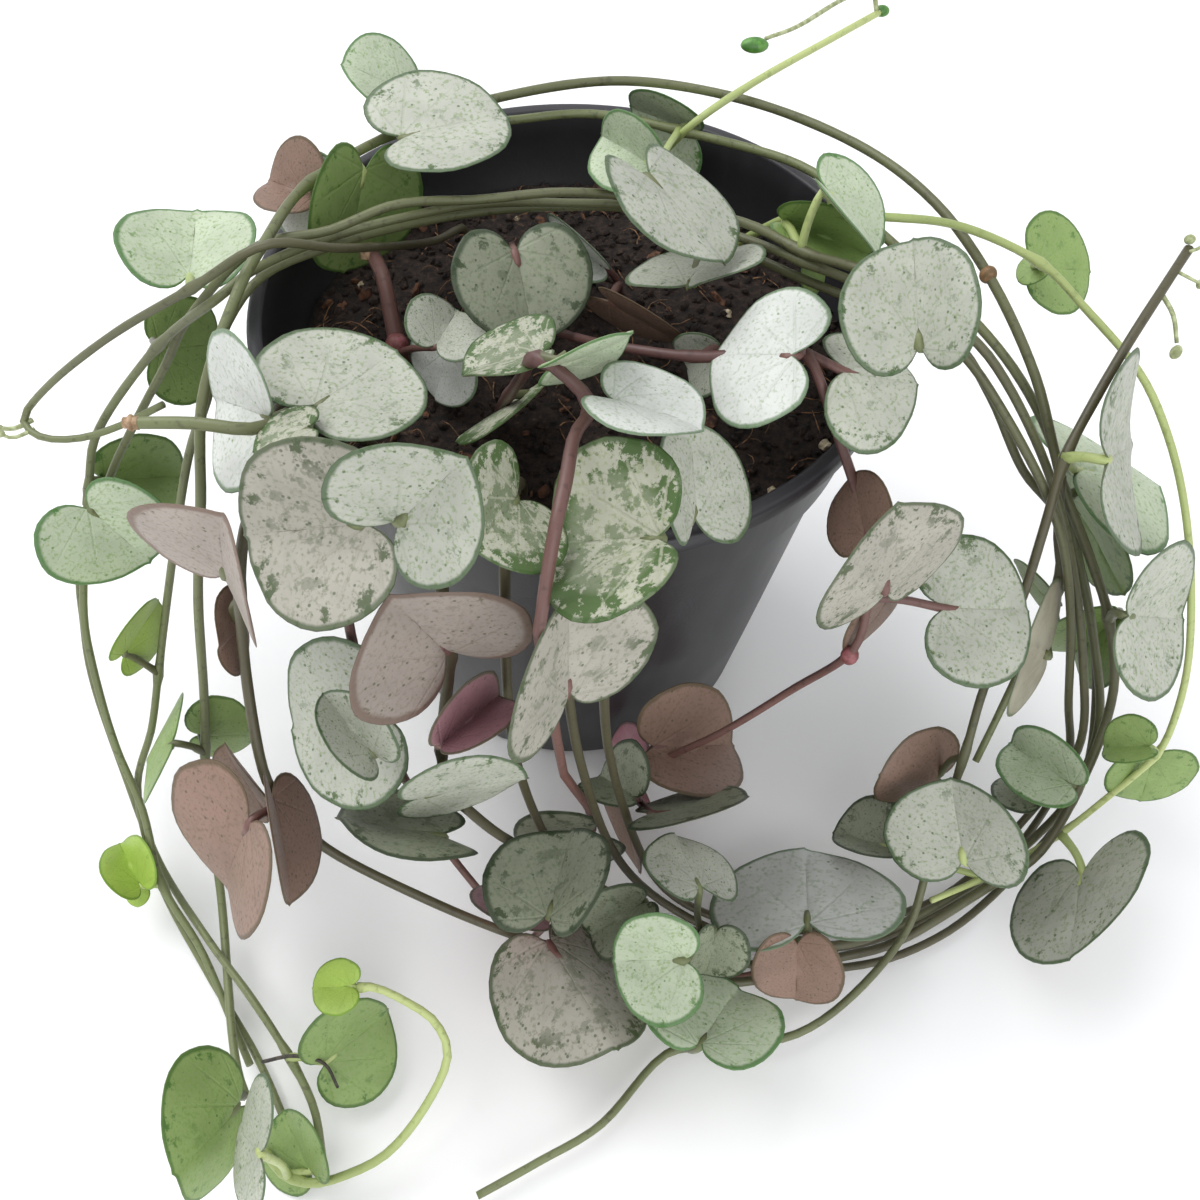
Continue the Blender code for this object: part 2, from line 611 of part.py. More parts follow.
def tube_mesh(name, points, radius, roundness):
    """A closed tube along the points, as a mesh."""
    curve = bpy.data.curves.new(name, "CURVE")
    curve.dimensions = "3D"
    curve.bevel_depth = radius
    curve.bevel_resolution = roundness
    curve.use_fill_caps = True
    spline = curve.splines.new("POLY")
    spline.points.add(len(points) - 1)
    for target, point in zip(spline.points, points):
        target.co = (*point, 1.0)
    made = new_object(name, curve, bpy.context.scene.collection)
    graph = bpy.context.evaluated_depsgraph_get()
    mesh = bpy.data.meshes.new_from_object(made.evaluated_get(graph))
    bpy.data.objects.remove(made, do_unlink=True)
    bpy.data.curves.remove(curve)
    weld(mesh)
    return mesh


def weld(mesh):
    """Joins a mesh's loose caps to its sides and turns its faces outwards."""
    shape = bmesh.new()
    shape.from_mesh(mesh)
    bmesh.ops.remove_doubles(shape, verts=shape.verts, dist=WELD_DISTANCE)
    bmesh.ops.recalc_face_normals(shape, faces=shape.faces)
    shape.to_mesh(mesh)
    shape.free()


def leaf_frame(leaf):
    """The leaf's notch and its directions: across, along its midrib and out of its upper face."""
    notch, heading, pitch, roll, _, _, _ = leaf
    heading, pitch, roll = (math.radians(angle) for angle in (heading, pitch, roll))
    reach = math.cos(pitch)
    along = Vector((math.cos(heading) * reach, math.sin(heading) * reach, math.sin(pitch)))
    level = Vector((math.sin(heading), -math.cos(heading), 0.0))
    across = math.cos(roll) * level - math.sin(roll) * level.cross(along)
    return place(notch), across, along, across.cross(along)


def blade(leaf, helpers):
    """A heart-shaped blade, folded along its midrib, with its thickness."""
    _, _, _, _, width, length, fold = leaf
    notch, across, along, out = leaf_frame(leaf)
    fold = math.radians(fold)
    outline = list(HEART_HALF) + [(-x, y) for x, y in HEART_HALF[-2:0:-1]]
    shape = bmesh.new()
    bmesh.ops.create_circle(shape, cap_ends=True, cap_tris=True, segments=len(outline), radius=1.0)
    for vertex in shape.verts:
        if vertex.co.length < 0.5:
            x, y = 0.0, HEART_MIDDLE
        else:
            turn = (math.atan2(vertex.co.y, vertex.co.x) + math.pi / 2) / (2 * math.pi)
            x, y = outline[round(turn * len(outline)) % len(outline)]
        y *= length / HEART_LENGTH
        size = width * MM
        local = across * x * math.cos(fold) + along * y + out * abs(x) * math.sin(fold)
        vertex.co = notch + local * size
    bmesh.ops.recalc_face_normals(shape, faces=shape.faces)
    mesh = bpy.data.meshes.new("blade")
    shape.to_mesh(mesh)
    shape.free()
    made = new_object("blade", mesh, helpers)
    thick = made.modifiers.new("Thickness", "SOLIDIFY")
    thick.thickness = LEAF_THICKNESS
    thick.offset = 0.0
    return made


def nearest_on_line(line, point):
    """The point of a broken line that is nearest to a point."""
    found = []
    for start, end in zip(line, line[1:]):
        near, amount = intersect_point_line(point, start, end)
        found.append(start if amount < 0 else end if amount > 1 else near)
    return min(found, key=lambda candidate: (candidate - point).length)


def hub(group):
    """The point where a group's leaf stalks meet: in a leafy string, or beside the string."""
    _, string, along, _, leaves = group
    if string == SOIL_SURFACE:
        foot = place(along)
        foot.z = soil_level() + GAP + HUB_RADIUS
        return foot
    route = string_points(string)
    shift = 1 if STRINGS[string][2] else 0
    node = nearest_on_line(smooth_route(route), route_point(route, along + shift))
    if string in LEAFY_STRINGS:
        return node
    at = along + shift
    run = (route_point(route, at + TANGENT_STEP) - route_point(route, at - TANGENT_STEP)).normalized()
    sides = []
    for leaf in leaves:
        way = place(leaf[0]) - node
        sides.append((way - run * way.dot(run)).normalized())
    side = sum(sides, Vector())
    if side.length < SAME_SIDE:
        side = run.cross(sides[0])
        if side.z < 0:
            side.negate()
    return node + side.normalized() * (string_radius(string) + HUB_RADIUS + GAP)


def group_pieces(group, helpers):
    """A group's blades, stalks and the knob that they meet at, as separate closed objects."""
    middle = hub(group)
    bpy.ops.mesh.primitive_ico_sphere_add(subdivisions=1, radius=HUB_RADIUS, location=middle)
    knob = bpy.context.object
    for holder in list(knob.users_collection):
        holder.objects.unlink(knob)
    helpers.objects.link(knob)
    pieces = [knob]
    for leaf in group[4]:
        notch, _, along, _ = leaf_frame(leaf)
        inside = notch + along * PETIOLE_REACH * leaf[4] * MM
        path = [middle, (middle + notch) / 2, notch, inside]
        if (middle - notch).length < SHORT_STALK:
            path = [middle, notch, inside]
        mesh = tube_mesh("stalk", path, PETIOLE_RADIUS, STALK_ROUNDNESS)
        pieces.append(new_object("stalk", mesh, helpers))
        pieces.append(blade(leaf, helpers))
    return pieces


def joined(name, pieces, owner, finish):
    """One closed body made of the pieces, in the owner collection."""
    base, others = pieces[0], pieces[1:]
    for other in others:
        union = base.modifiers.new("Union", "BOOLEAN")
        union.operation = "UNION"
        # This solver leaves the joined stalks and blades closed; the exact one left open edges.
        union.solver = "MANIFOLD"
        union.object = other
    graph = bpy.context.evaluated_depsgraph_get()
    mesh = bpy.data.meshes.new_from_object(base.evaluated_get(graph))
    mesh.transform(base.matrix_world)
    mesh.name = name
    for piece in pieces:
        bpy.data.objects.remove(piece, do_unlink=True)
    mesh.materials.clear()
    mesh.materials.append(material(name, finish))
    for face in mesh.polygons:
        face.use_smooth = False
    return new_object(name, mesh, owner)


def strings(owner, helpers):
    """The strings, with the leaves that grow in one piece with the leafy ones."""
    for name, (finish, _, _, _) in STRINGS.items():
        line = smooth_route(string_points(name))
        mesh = tube_mesh(name, line, string_radius(name), STRING_ROUNDNESS)
        pieces = [new_object(name + "_tube", mesh, helpers)]
        if name in LEAFY_STRINGS:
            for group in LEAF_GROUPS:
                if group[1] == name:
                    pieces += group_pieces(group, helpers)
        made = joined(name, pieces, owner, finish)
        if name not in LEAFY_STRINGS:
            made.data.polygons.foreach_set("use_smooth", [True] * len(made.data.polygons))


def leaves(owner, helpers):
    """Each group of leaves that is a piece of its own."""
    for group in LEAF_GROUPS:
        name, string, _, finish, _ = group
        if string not in LEAFY_STRINGS:
            joined(name, group_pieces(group, helpers), owner, finish)


def main():
    """Builds the whole object."""
    clear_scene()
    owner = collection("string_of_hearts")
    helpers = collection("cutters")
    pot(owner, helpers)
    soil(owner)
    strings(owner, helpers)
    leaves(owner, helpers)


main()
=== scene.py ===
"""Looks of a potted string of hearts: a nursery pot, peat soil, long strings and heart-shaped leaves.

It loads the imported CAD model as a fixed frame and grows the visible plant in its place. Lengths in the
tables are in millimetres and become metres through MM.
"""

from __future__ import annotations

import logging
import math
import random
from dataclasses import dataclass, field
from enum import Enum
from typing import Any, Sequence

import bmesh
import bpy
from bpy.types import Material, Mesh, Node, NodeSocket, NodeTree, Object
from mathutils import Matrix, Vector, noise
from mathutils.kdtree import KDTree

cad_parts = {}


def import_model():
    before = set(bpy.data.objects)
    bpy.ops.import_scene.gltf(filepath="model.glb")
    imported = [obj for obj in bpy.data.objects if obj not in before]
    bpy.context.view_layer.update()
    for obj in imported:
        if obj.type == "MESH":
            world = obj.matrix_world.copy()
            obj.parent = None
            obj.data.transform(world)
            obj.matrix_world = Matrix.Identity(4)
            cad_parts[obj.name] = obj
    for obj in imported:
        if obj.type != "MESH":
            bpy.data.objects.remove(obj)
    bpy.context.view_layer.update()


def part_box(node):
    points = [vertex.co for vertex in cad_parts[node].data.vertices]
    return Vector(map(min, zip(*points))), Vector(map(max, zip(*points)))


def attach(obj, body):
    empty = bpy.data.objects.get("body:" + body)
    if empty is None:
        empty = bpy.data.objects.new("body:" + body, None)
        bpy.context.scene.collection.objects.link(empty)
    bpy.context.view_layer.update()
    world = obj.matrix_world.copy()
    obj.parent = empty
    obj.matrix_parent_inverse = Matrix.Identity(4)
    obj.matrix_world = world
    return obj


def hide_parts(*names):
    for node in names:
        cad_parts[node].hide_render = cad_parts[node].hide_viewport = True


LOG = logging.getLogger("string_of_hearts")
MM = 0.001
BODY = "root"


class LeafKind(Enum):
    """What a leaf's faces look like."""

    SILVER = "silver"
    WHITE = "white_silver"
    PALE = "pale_green"
    SPECKLED = "speckled_silver"
    VARIEGATED = "variegated"
    MAUVE = "mauve_silver"
    GREEN = "fresh_green"
    LIME = "lime_tip"
    # SHADED is painted shade: the silver finish made darker and greener for leaves that lie in shade.
    SHADED = "shaded_grey_green"
    PURPLE = "purple_underside"
    PINK = "pink_underside"


class StemKind(Enum):
    """How ripe a stem is."""

    OLIVE = "olive"
    RED_BROWN = "red_brown"
    YOUNG = "light_green"


S, W, P, K = LeafKind.SILVER, LeafKind.WHITE, LeafKind.PALE, LeafKind.SPECKLED
V, M, G, L = LeafKind.VARIEGATED, LeafKind.MAUVE, LeafKind.GREEN, LeafKind.LIME
D, U, R = LeafKind.SHADED, LeafKind.PURPLE, LeafKind.PINK
OLIVE, RED, YOUNG = StemKind.OLIVE, StemKind.RED_BROWN, StemKind.YOUNG

# Each string: how ripe it is, its radius in mm, whether it grows out of the soil, and its route in mm.
STRINGS: dict[str, tuple[StemKind, float, bool, tuple]] = {
    "ring_string": (OLIVE, 0.9, True, (
        (-35, -18, 83), (-41, -30, 98), (-43, -45, 97), (-48, -48, 84), (-52, -52, 62), (-51, -63, 46),
        (-49, -65, 36), (-43, -69, 26), (-26, -75, 17), (-10, -80, 12), (7, -84, 9), (29, -87, 7),
        (47, -83, 7), (60, -80, 8), (76, -72, 12), (87, -66, 17), (94, -55, 29), (96, -46, 42),
        (93, -38, 53), (88, -32, 62), (81, -26, 73), (78, -22, 79), (73, -14, 89), (66, -1, 97),
        (58, 13, 101), (47, 28, 101), (29, 40, 101), (8, 45, 101), (-13, 38, 102), (-29, 25, 104),
        (-41, 7, 107), (-45, -10, 109), (-48, -19, 107), (-53, -30, 98), (-56, -37, 83), (-61, -41, 63),
        (-65, -47, 40), (-68, -57, 20), (-66, -71, 8), (-60, -96, 7), (-56, -106, 9),
    )),
    "rim_string": (OLIVE, 0.9, True, (
        (-19, -31, 83), (-19, -46, 99), (-17, -62, 97), (-17, -64, 84), (-20, -67, 62), (-20, -68, 48),
        (-18, -68, 42), (-12, -70, 34), (-2, -72, 25), (12, -76, 15), (23, -80, 13), (46, -82, 12),
        (61, -77, 9), (77, -69, 10), (89, -61, 13), (95, -55, 20), (97, -47, 32), (93, -38, 46),
        (87, -30, 60), (82, -24, 71), (77, -16, 80), (66, -8, 91), (48, 11, 98), (39, 25, 98), (22, 35, 97),
        (4, 41, 97), (-11, 39, 97), (-22, 33, 99), (-27, 28, 101),
    )),
    "front_string": (RED, 0.8, True, (
        (-28, -28, 83), (-28, -44, 99), (-30, -56, 95), (-33, -55, 73), (-30, -61, 51), (-29, -62, 44),
        (-24, -66, 23), (-17, -72, 12), (-11, -77, 4), (3, -83, 3), (20, -86, 2), (35, -84, 2),
    )),
    "bundle_string_1": (OLIVE, 0.8, True, (
        (-2, -33, 83), (-2, -48, 99), (-2, -61, 96), (1, -64, 51), (10, -69, 15), (28, -77, 4), (48, -80, 4),
        (68, -74, 3), (85, -63, 7), (94, -51, 20), (90, -45, 37), (84, -38, 59), (76, -33, 77),
        (65, -24, 91), (57, -18, 98), (46, -13, 103), (34, -5, 103), (26, 4, 100), (11, 11, 100),
        (-2, 12, 100), (-15, 9, 102), (-27, 4, 103), (-38, -1, 103), (-47, -9, 104), (-52, -16, 104),
        (-65, -12, 91), (-80, -13, 73), (-84, -18, 63), (-88, -30, 46), (-88, -37, 37), (-85, -48, 26),
        (-80, -58, 19), (-76, -70, 12), (-68, -81, 7), (-60, -95, 4), (-57, -100, 4),
    )),
    "bundle_string_2": (OLIVE, 0.8, True, (
        (5, -34, 83), (4, -49, 99), (4, -61, 95), (6, -61, 46), (16, -70, 12), (33, -76, 5), (52, -76, 5),
        (72, -70, 6), (88, -57, 13), (93, -51, 30), (90, -42, 46), (83, -34, 65), (76, -27, 79),
        (65, -23, 95), (57, -19, 102), (43, -17, 110), (35, -6, 105), (26, 1, 105), (10, 8, 104),
        (-2, 8, 105), (-15, 6, 105), (-27, 2, 107), (-37, -3, 106), (-48, -6, 105), (-60, -9, 94),
        (-66, -10, 85), (-75, -12, 72), (-81, -15, 63), (-89, -23, 49), (-91, -29, 38), (-91, -36, 28),
        (-87, -48, 15), (-80, -63, 5), (-67, -79, 8), (-57, -90, 10), (-49, -100, 9), (-44, -108, 8),
        (-42, -116, 5),
    )),
    "bundle_string_3": (OLIVE, 0.8, True, (
        (-8, -33, 83), (-8, -48, 99), (-9, -61, 96), (-9, -64, 48), (1, -69, 9), (22, -80, 3), (48, -84, 5),
        (69, -78, 4), (87, -65, 6), (98, -53, 15), (98, -42, 31), (92, -32, 50), (84, -25, 64),
        (74, -23, 75), (66, -18, 87), (58, -15, 96), (47, -12, 99), (35, -3, 98), (27, 4, 97), (11, 14, 97),
        (-2, 15, 97), (-16, 12, 98), (-28, 7, 99), (-37, 0, 101), (-47, -7, 101), (-52, -17, 99),
        (-55, -24, 92), (-60, -25, 82), (-63, -29, 74), (-70, -33, 54), (-75, -40, 38), (-78, -46, 28),
        (-82, -54, 18), (-78, -68, 8), (-68, -83, 3), (-56, -99, 2), (-46, -116, 2),
    )),
    "hoop_string": (OLIVE, 0.7, True, (
        (-20, 26, 84), (-25, 17, 88), (-34, -7, 106), (-43, -15, 113), (-55, -16, 106), (-69, -14, 96),
        (-82, -12, 85), (-91, -11, 76), (-92, -13, 74), (-88, -16, 74), (-82, -16, 74), (-75, -15, 76),
        (-67, -14, 80),
    )),
    "young_string_right": (YOUNG, 0.7, True, (
        (22, 16, 83), (35, 8, 101), (48, 0, 107), (61, 3, 103), (75, 2, 97), (83, -3, 92), (92, -11, 86),
        (97, -19, 80), (101, -27, 72), (104, -36, 62), (105, -46, 52), (104, -53, 44), (102, -57, 38),
        (97, -60, 28), (91, -63, 18), (80, -68, 12), (66, -74, 13),
    )),
    "tip_string": (OLIVE, 0.8, False, (
        (98, 2, 100), (92, -6, 98), (86, -14, 95), (81, -21, 90), (76, -29, 85), (74, -36, 77),
        (73, -42, 64), (71, -48, 47), (69, -56, 36), (65, -68, 21), (61, -79, 12), (50, -90, 8),
        (39, -96, 5), (26, -97, 4), (16, -99, 4), (5, -110, 4), (-6, -116, 4), (-16, -121, 4),
    )),
    "dark_string": (OLIVE, 0.8, False, (
        (79, -26, 77), (81, -30, 67), (83, -34, 59), (82, -38, 47), (78, -46, 35), (74, -53, 28),
    )),
    "red_string": (RED, 0.8, True, (
        (-9, 3, 84), (-1, -8, 90), (7, -19, 98), (18, -24, 101), (26, -25, 103), (32, -27, 105),
        (34, -31, 104), (37, -35, 98), (41, -40, 90), (44, -44, 82), (46, -46, 70), (45, -49, 60),
        (38, -47, 44), (27, -49, 32), (15, -50, 20), (12, -53, 12),
    )),
    "centre_string": (RED, 0.9, True, (
        (-12, -18, 83), (-7, -35, 108), (-5, -41, 117), (-2, -43, 117), (2, -46, 114), (0, -52, 115),
        (-1, -59, 115), (-2, -64, 114), (-3, -68, 110), (-4, -71, 103), (-4, -72, 99), (-2, -64, 50),
        (-1, -64, 44), (3, -62, 27),
    )),
    "curl_string": (YOUNG, 0.8, False, (
        (-52, -114, 5), (-49, -117, 5), (-44, -119, 5), (-38, -118, 6), (-31, -115, 8), (-25, -109, 12),
        (-21, -102, 17), (-23, -97, 20), (-28, -94, 22), (-33, -92, 23), (-36, -92, 23),
    )),
    "back_sprig": (YOUNG, 0.7, True, (
        (12, 43, 83), (16, 36, 93), (21, 32, 102), (32, 41, 104), (46, 51, 106), (56, 60, 106),
    )),
    "cut_string": (OLIVE, 1.0, True, (
        (-31, -26, 83), (-37, -33, 99), (-42, -42, 105), (-50, -42, 106), (-58, -42, 106),
    )),
    "cut_stub": (RED, 1.4, True, (
        (-29, -6, 84), (-30, -2, 90), (-31, 1, 95), (-33, 4, 97),
    )),
}

# Each group of leaves on one joint: its name, its string, how far along the string's points the joint
# is, the stalks' ripeness, a finish name that is not used, and its leaves. A leaf has its kind, its
# notch in mm, its heading, pitch and roll in degrees, its width in mm, its length as a share of the
# width, and its fold in degrees.
LEAF_GROUPS: tuple = (
    ("hoop_leaf", "hoop_string", 4.0, YOUNG, "silver_leaf", (
        (P, (-60, -3, 97), 95, 5, 5, 23, 0.64, 25),
    )),
    ("leaf_left_upper", "bundle_string_1", 25.0, OLIVE, "green_leaf", (
        (G, (-70, -1, 80), 45, -30, 70, 19, 0.62, 10),
    )),
    ("cut_string_trio", "cut_string", 1.0, OLIVE, "silver_leaf", (
        (W, (-41, -39, 104), 140, -20, -60, 23, 0.60, 20),
        (V, (-35, -44, 107), 195, -15, 15, 12, 0.62, 5),
        (S, (-35, -36, 103), 50, -5, 0, 26, 0.58, 5),
    )),
    ("leaves_back_left", "ring_string", 30.0, OLIVE, "silver_leaf", (
        (W, (-40, 14, 97), 155, 0, -45, 16, 0.62, 25),
        (U, (-43, 13, 100), 145, -5, -25, 17, 0.56, 40),
    )),
    ("leaf_back_left_green", "ring_string", 29.6, YOUNG, "green_leaf", (
        (G, (-34, 14, 104), 240, -60, -85, 28, 0.60, 10),
    )),
    ("leaves_back_rim_left", "ring_string", 29.0, OLIVE, "silver_leaf", (
        (P, (-30, 38, 103), 185, 30, -5, 20, 0.54, 10),
        (S, (-27, 18, 108), 20, 0, 0, 28, 0.62, 10),
    )),
    ("leaf_soil_back", "soil", (-11, 26, 81), RED, "silver_leaf", (
        (D, (-9, -3, 102), 285, -40, -15, 24, 0.58, 15),
    )),
    ("leaves_soil_middle", "soil", (8, 14, 81), RED, "mauve_leaf", (
        (W, (5, 11, 88), 130, 0, -50, 22, 0.64, 75),
        (U, (6, -6, 95), 345, -25, 125, 22, 0.60, 5),
    )),
    ("leaves_back_rim_right", "rim_string", 24.2, YOUNG, "silver_leaf", (
        (P, (12, 11, 108), 135, 0, -55, 17, 0.66, 50),
        (P, (21, 41, 94), 145, 0, -100, 22, 0.60, 25),
    )),
    ("leaf_over_bundle", "bundle_string_2", 17.9, OLIVE, "silver_leaf", (
        (S, (11, -3, 116), 315, -25, -25, 27, 0.62, 5),
    )),
    ("leaf_under_bundle", "bundle_string_3", 18.4, OLIVE, "silver_leaf", (
        (S, (17, -9, 102), 60, -15, -25, 23, 0.60, 10),
    )),
    ("cut_stub_pair", "cut_stub", 0.0, RED, "silver_leaf", (
        (S, (-21, -17, 96), 70, 0, 20, 14, 0.62, 25),
        (W, (-20, -12, 90), 230, -65, 5, 15, 0.58, 0),
    )),
    ("centre_top_pair", "centre_string", 2.0, OLIVE, "silver_leaf", (
        (V, (-5, -34, 111), 185, -15, 20, 18, 0.58, 15),
        (P, (-2, -43, 118), 20, 10, 120, 17, 0.60, 10),
    )),
    ("centre_rim_leaf", "centre_string", 4.0, OLIVE, "silver_leaf", (
        (W, (5, -47, 116), 340, -5, -20, 19, 0.60, 10),
    )),
    ("centre_soil_leaf", "centre_string", 0.5, OLIVE, "silver_leaf", (
        (V, (-7, -23, 92), 205, -25, 45, 22, 0.60, -5),
    )),
    ("centre_hanging_leaf", "centre_string", 10.2, RED, "silver_leaf", (
        (K, (-1, -72, 88), 85, 75, 50, 28, 0.58, 15),
    )),
    ("centre_low_leaf", "centre_string", 13.0, RED, "silver_leaf", (
        (D, (3, -63, 18), 180, -30, -85, 24, 0.60, 5),
    )),
    ("red_soil_leaf", "red_string", 3.0, RED, "silver_leaf", (
        (S, (22, -17, 95), 145, -45, -75, 13, 0.60, 40),
    )),
    ("red_rim_pair", "red_string", 5.0, RED, "silver_leaf", (
        (W, (30, -30, 107), 150, -25, -20, 23, 0.56, 0),
        (S, (38, -30, 104), 355, -10, 0, 24, 0.44, -15),
    )),
    ("red_shoulder_trio", "red_string", 9.2, RED, "silver_leaf", (
        (K, (44, -54, 85), 95, 80, 25, 26, 0.60, 5),
        (U, (42, -46, 88), 100, 25, -75, 17, 0.54, 5),
        (U, (51, -41, 63), 225, -45, -90, 19, 0.58, 0),
    )),
    ("red_side_leaf", "red_string", 9.9, RED, "silver_leaf", (
        (S, (58, -47, 70), 5, -10, 20, 25, 0.60, 10),
    )),
    ("red_low_pair", "red_string", 14.0, RED, "silver_leaf", (
        (U, (15, -48, 24), 15, -25, 20, 29, 0.66, 45),
        (R, (12, -50, 15), 120, -25, 100, 20, 0.54, 15),
    )),
    ("red_end_trio", "red_string", 15.0, RED, "silver_leaf", (
        (D, (15, -63, 27), 5, 15, -55, 27, 0.62, 0),
        (D, (11, -58, 24), 130, -35, -10, 19, 0.62, 45),
        (U, (9, -54, 14), 290, -35, 90, 24, 0.62, 5),
    )),
    ("leaves_front_rim", "bundle_string_2", 1.0, OLIVE, "silver_leaf", (
        (V, (10, -62, 108), 165, -25, -20, 27, 0.56, 30),
        (S, (16, -52, 99), 95, 35, 45, 21, 0.62, 10),
    )),
    ("leaf_bud_right", "bundle_string_1", 15.9, YOUNG, "green_leaf", (
        (G, (40, 9, 90), 275, -45, -45, 8, 0.62, 0),
    )),
    ("leaves_right_rim", "bundle_string_2", 16.1, YOUNG, "green_leaf", (
        (P, (37, -2, 113), 335, -35, -15, 20, 0.62, 20),
        (G, (34, 6, 101), 5, -25, 55, 26, 0.64, 75),
    )),
    ("leaf_right_large", "bundle_string_2", 14.1, OLIVE, "silver_leaf", (
        (S, (45, -35, 114), 95, 35, -25, 22, 0.64, 40),
    )),
    ("young_upper_pair", "young_string_right", 4.0, YOUNG, "silver_leaf", (
        (G, (86, 24, 78), 10, -15, 30, 20, 0.60, 5),
        (G, (85, 21, 80), 195, -35, 5, 7, 0.60, 10),
    )),
    ("young_middle_pair", "young_string_right", 12.0, YOUNG, "silver_leaf", (
        (G, (103, -56, 35), 275, -65, 5, 17, 0.58, 10),
        (G, (98, -58, 44), 155, -45, -15, 12, 0.66, 45),
    )),
    ("young_low_leaf", "young_string_right", 14.0, YOUNG, "silver_leaf", (
        (S, (93, -71, 18), 245, 15, 65, 32, 0.62, 5),
    )),
    ("young_end_pair", "young_string_right", 15.2, YOUNG, "silver_leaf", (
        (S, (69, -71, 26), 105, 40, -50, 27, 0.56, 15),
        (D, (59, -64, 14), 155, -15, 15, 18, 0.58, 35),
    )),
    ("leaves_left_green", "bundle_string_1", 27.0, OLIVE, "green_leaf", (
        (P, (-83, -22, 63), 350, -65, 55, 24, 0.64, 20),
        (G, (-88, -5, 50), 35, -30, 55, 22, 0.68, 40),
    )),
    ("leaves_left_curled", "ring_string", 3.4, OLIVE, "silver_leaf", (
        (M, (-49, -52, 86), 325, 75, 85, 27, 0.62, 25),
        (U, (-54, -45, 61), 260, 35, -80, 15, 0.60, 0),
    )),
    ("leaves_front_left_pair", "front_string", 1.2, OLIVE, "silver_leaf", (
        (K, (-25, -60, 108), 175, -15, -45, 26, 0.64, 30),
        (S, (-19, -69, 120), 15, 45, 55, 20, 0.58, 30),
    )),
    ("leaf_front_variegated", "bundle_string_3", 0.7, OLIVE, "silver_leaf", (
        (V, (-7, -58, 110), 240, 10, -45, 18, 0.56, 20),
    )),
    ("leaf_front_mauve_rim", "rim_string", 3.0, RED, "silver_leaf", (
        (M, (-17, -66, 88), 195, 70, -80, 27, 0.58, 20),
    )),
    ("leaf_front_pink", "rim_string", 4.0, RED, "pink_leaf", (
        (R, (-18, -74, 77), 55, -20, 25, 20, 0.64, 70),
    )),
    ("leaves_front_low", "front_string", 4.0, OLIVE, "silver_leaf", (
        (S, (-29, -64, 66), 175, -25, -40, 28, 0.60, 20),
        (S, (-28, -74, 74), 135, 25, -10, 17, 0.64, 65),
    )),
    ("leaf_front_edge_on", "rim_string", 5.0, OLIVE, "silver_leaf", (
        (S, (-22, -74, 60), 15, -5, 100, 26, 0.60, -5),
    )),
    ("leaf_front_shaded", "front_string", 6.0, OLIVE, "silver_leaf", (
        (D, (-21, -75, 47), 180, 20, 45, 27, 0.62, 5),
    )),
    ("leaves_left_low", "ring_string", 36.5, OLIVE, "green_leaf", (
        (G, (-68, -48, 29), 10, -10, 85, 19, 0.52, -10),
        (G, (-71, -53, 36), 170, -55, -5, 21, 0.58, 0),
    )),
    ("leaves_mauve_trio", "ring_string", 6.0, RED, "mauve_leaf", (
        (U, (-52, -72, 45), 35, -120, -180, 32, 0.62, 20),
        (U, (-54, -63, 31), 130, 40, -80, 23, 0.58, 10),
        (U, (-49, -68, 44), 285, -25, -80, 26, 0.64, 15),
    )),
    ("leaves_lime_pair", "bundle_string_1", 32.0, YOUNG, "green_leaf", (
        (L, (-80, -70, 12), 125, 0, 0, 15, 0.68, 55),
        (L, (-81, -70, 9), 270, -15, 15, 5, 0.62, 10),
    )),
    ("leaf_fading", "bundle_string_3", 30.0, OLIVE, "green_leaf", (
        (L, (-78, -41, 47), 65, 10, 100, 18, 0.60, 10),
    )),
    ("curl_tip_leaf", "curl_string", 10.0, YOUNG, "silver_leaf", (
        (L, (-37, -92, 24), 180, -10, -10, 10, 0.66, 25),
    )),
    ("curl_start_pair", "curl_string", 1.3, YOUNG, "silver_leaf", (
        (S, (-45, -119, 36), 140, -45, -40, 19, 0.60, 5),
        (G, (-44, -117, 5), 120, 15, -50, 19, 0.56, 20),
    )),
    ("leaf_green_scalloped", "bundle_string_2", 35.0, YOUNG, "green_leaf", (
        (G, (-42, -101, 12), 40, -5, 60, 24, 0.54, 20),
    )),
    ("leaf_green_large", "ring_string", 40.0, OLIVE, "green_leaf", (
        (G, (-52, -111, 26), 245, 40, -60, 23, 0.66, -20),
    )),
    ("dark_end_leaf", "dark_string", 3.0, OLIVE, "silver_leaf", (
        (S, (81, -44, 51), 210, 50, 120, 25, 0.62, 5),
    )),
    ("dark_middle_leaf", "dark_string", 2.0, OLIVE, "silver_leaf", (
        (G, (87, -30, 47), 120, 0, -115, 17, 0.60, 0),
    )),
    ("leaves_right_pair", "tip_string", 4.0, YOUNG, "silver_leaf", (
        (S, (80, -32, 88), 45, -30, 55, 32, 0.60, 10),
        (P, (85, -21, 73), 10, -25, -5, 33, 0.60, -10),
    )),
    ("leaf_right_bright", "rim_string", 18.9, OLIVE, "green_leaf", (
        (G, (92, -14, 56), 295, -20, 110, 31, 0.62, 5),
    )),
    ("leaves_right_edge", "ring_string", 18.0, OLIVE, "silver_leaf", (
        (S, (89, -45, 65), 20, -30, 50, 28, 0.60, 20),
        (G, (102, -29, 39), 145, -80, -80, 25, 0.70, 55),
    )),
    ("leaves_right_low", "rim_string", 15.0, OLIVE, "green_leaf", (
        (P, (91, -57, 27), 125, -20, -40, 21, 0.66, 55),
        (D, (88, -57, 19), 110, -30, -35, 15, 0.64, 45),
    )),
    ("leaf_right_brown", "tip_string", 8.0, OLIVE, "mauve_leaf", (
        (U, (67, -55, 26), 190, 20, -70, 20, 0.64, -20),
    )),
    ("leaves_table_right", "rim_string", 10.8, OLIVE, "silver_leaf", (
        (W, (41, -81, 21), 80, -30, -15, 35, 0.60, -5),
        (U, (39, -84, 20), 95, -125, -165, 18, 0.70, 30),
    )),
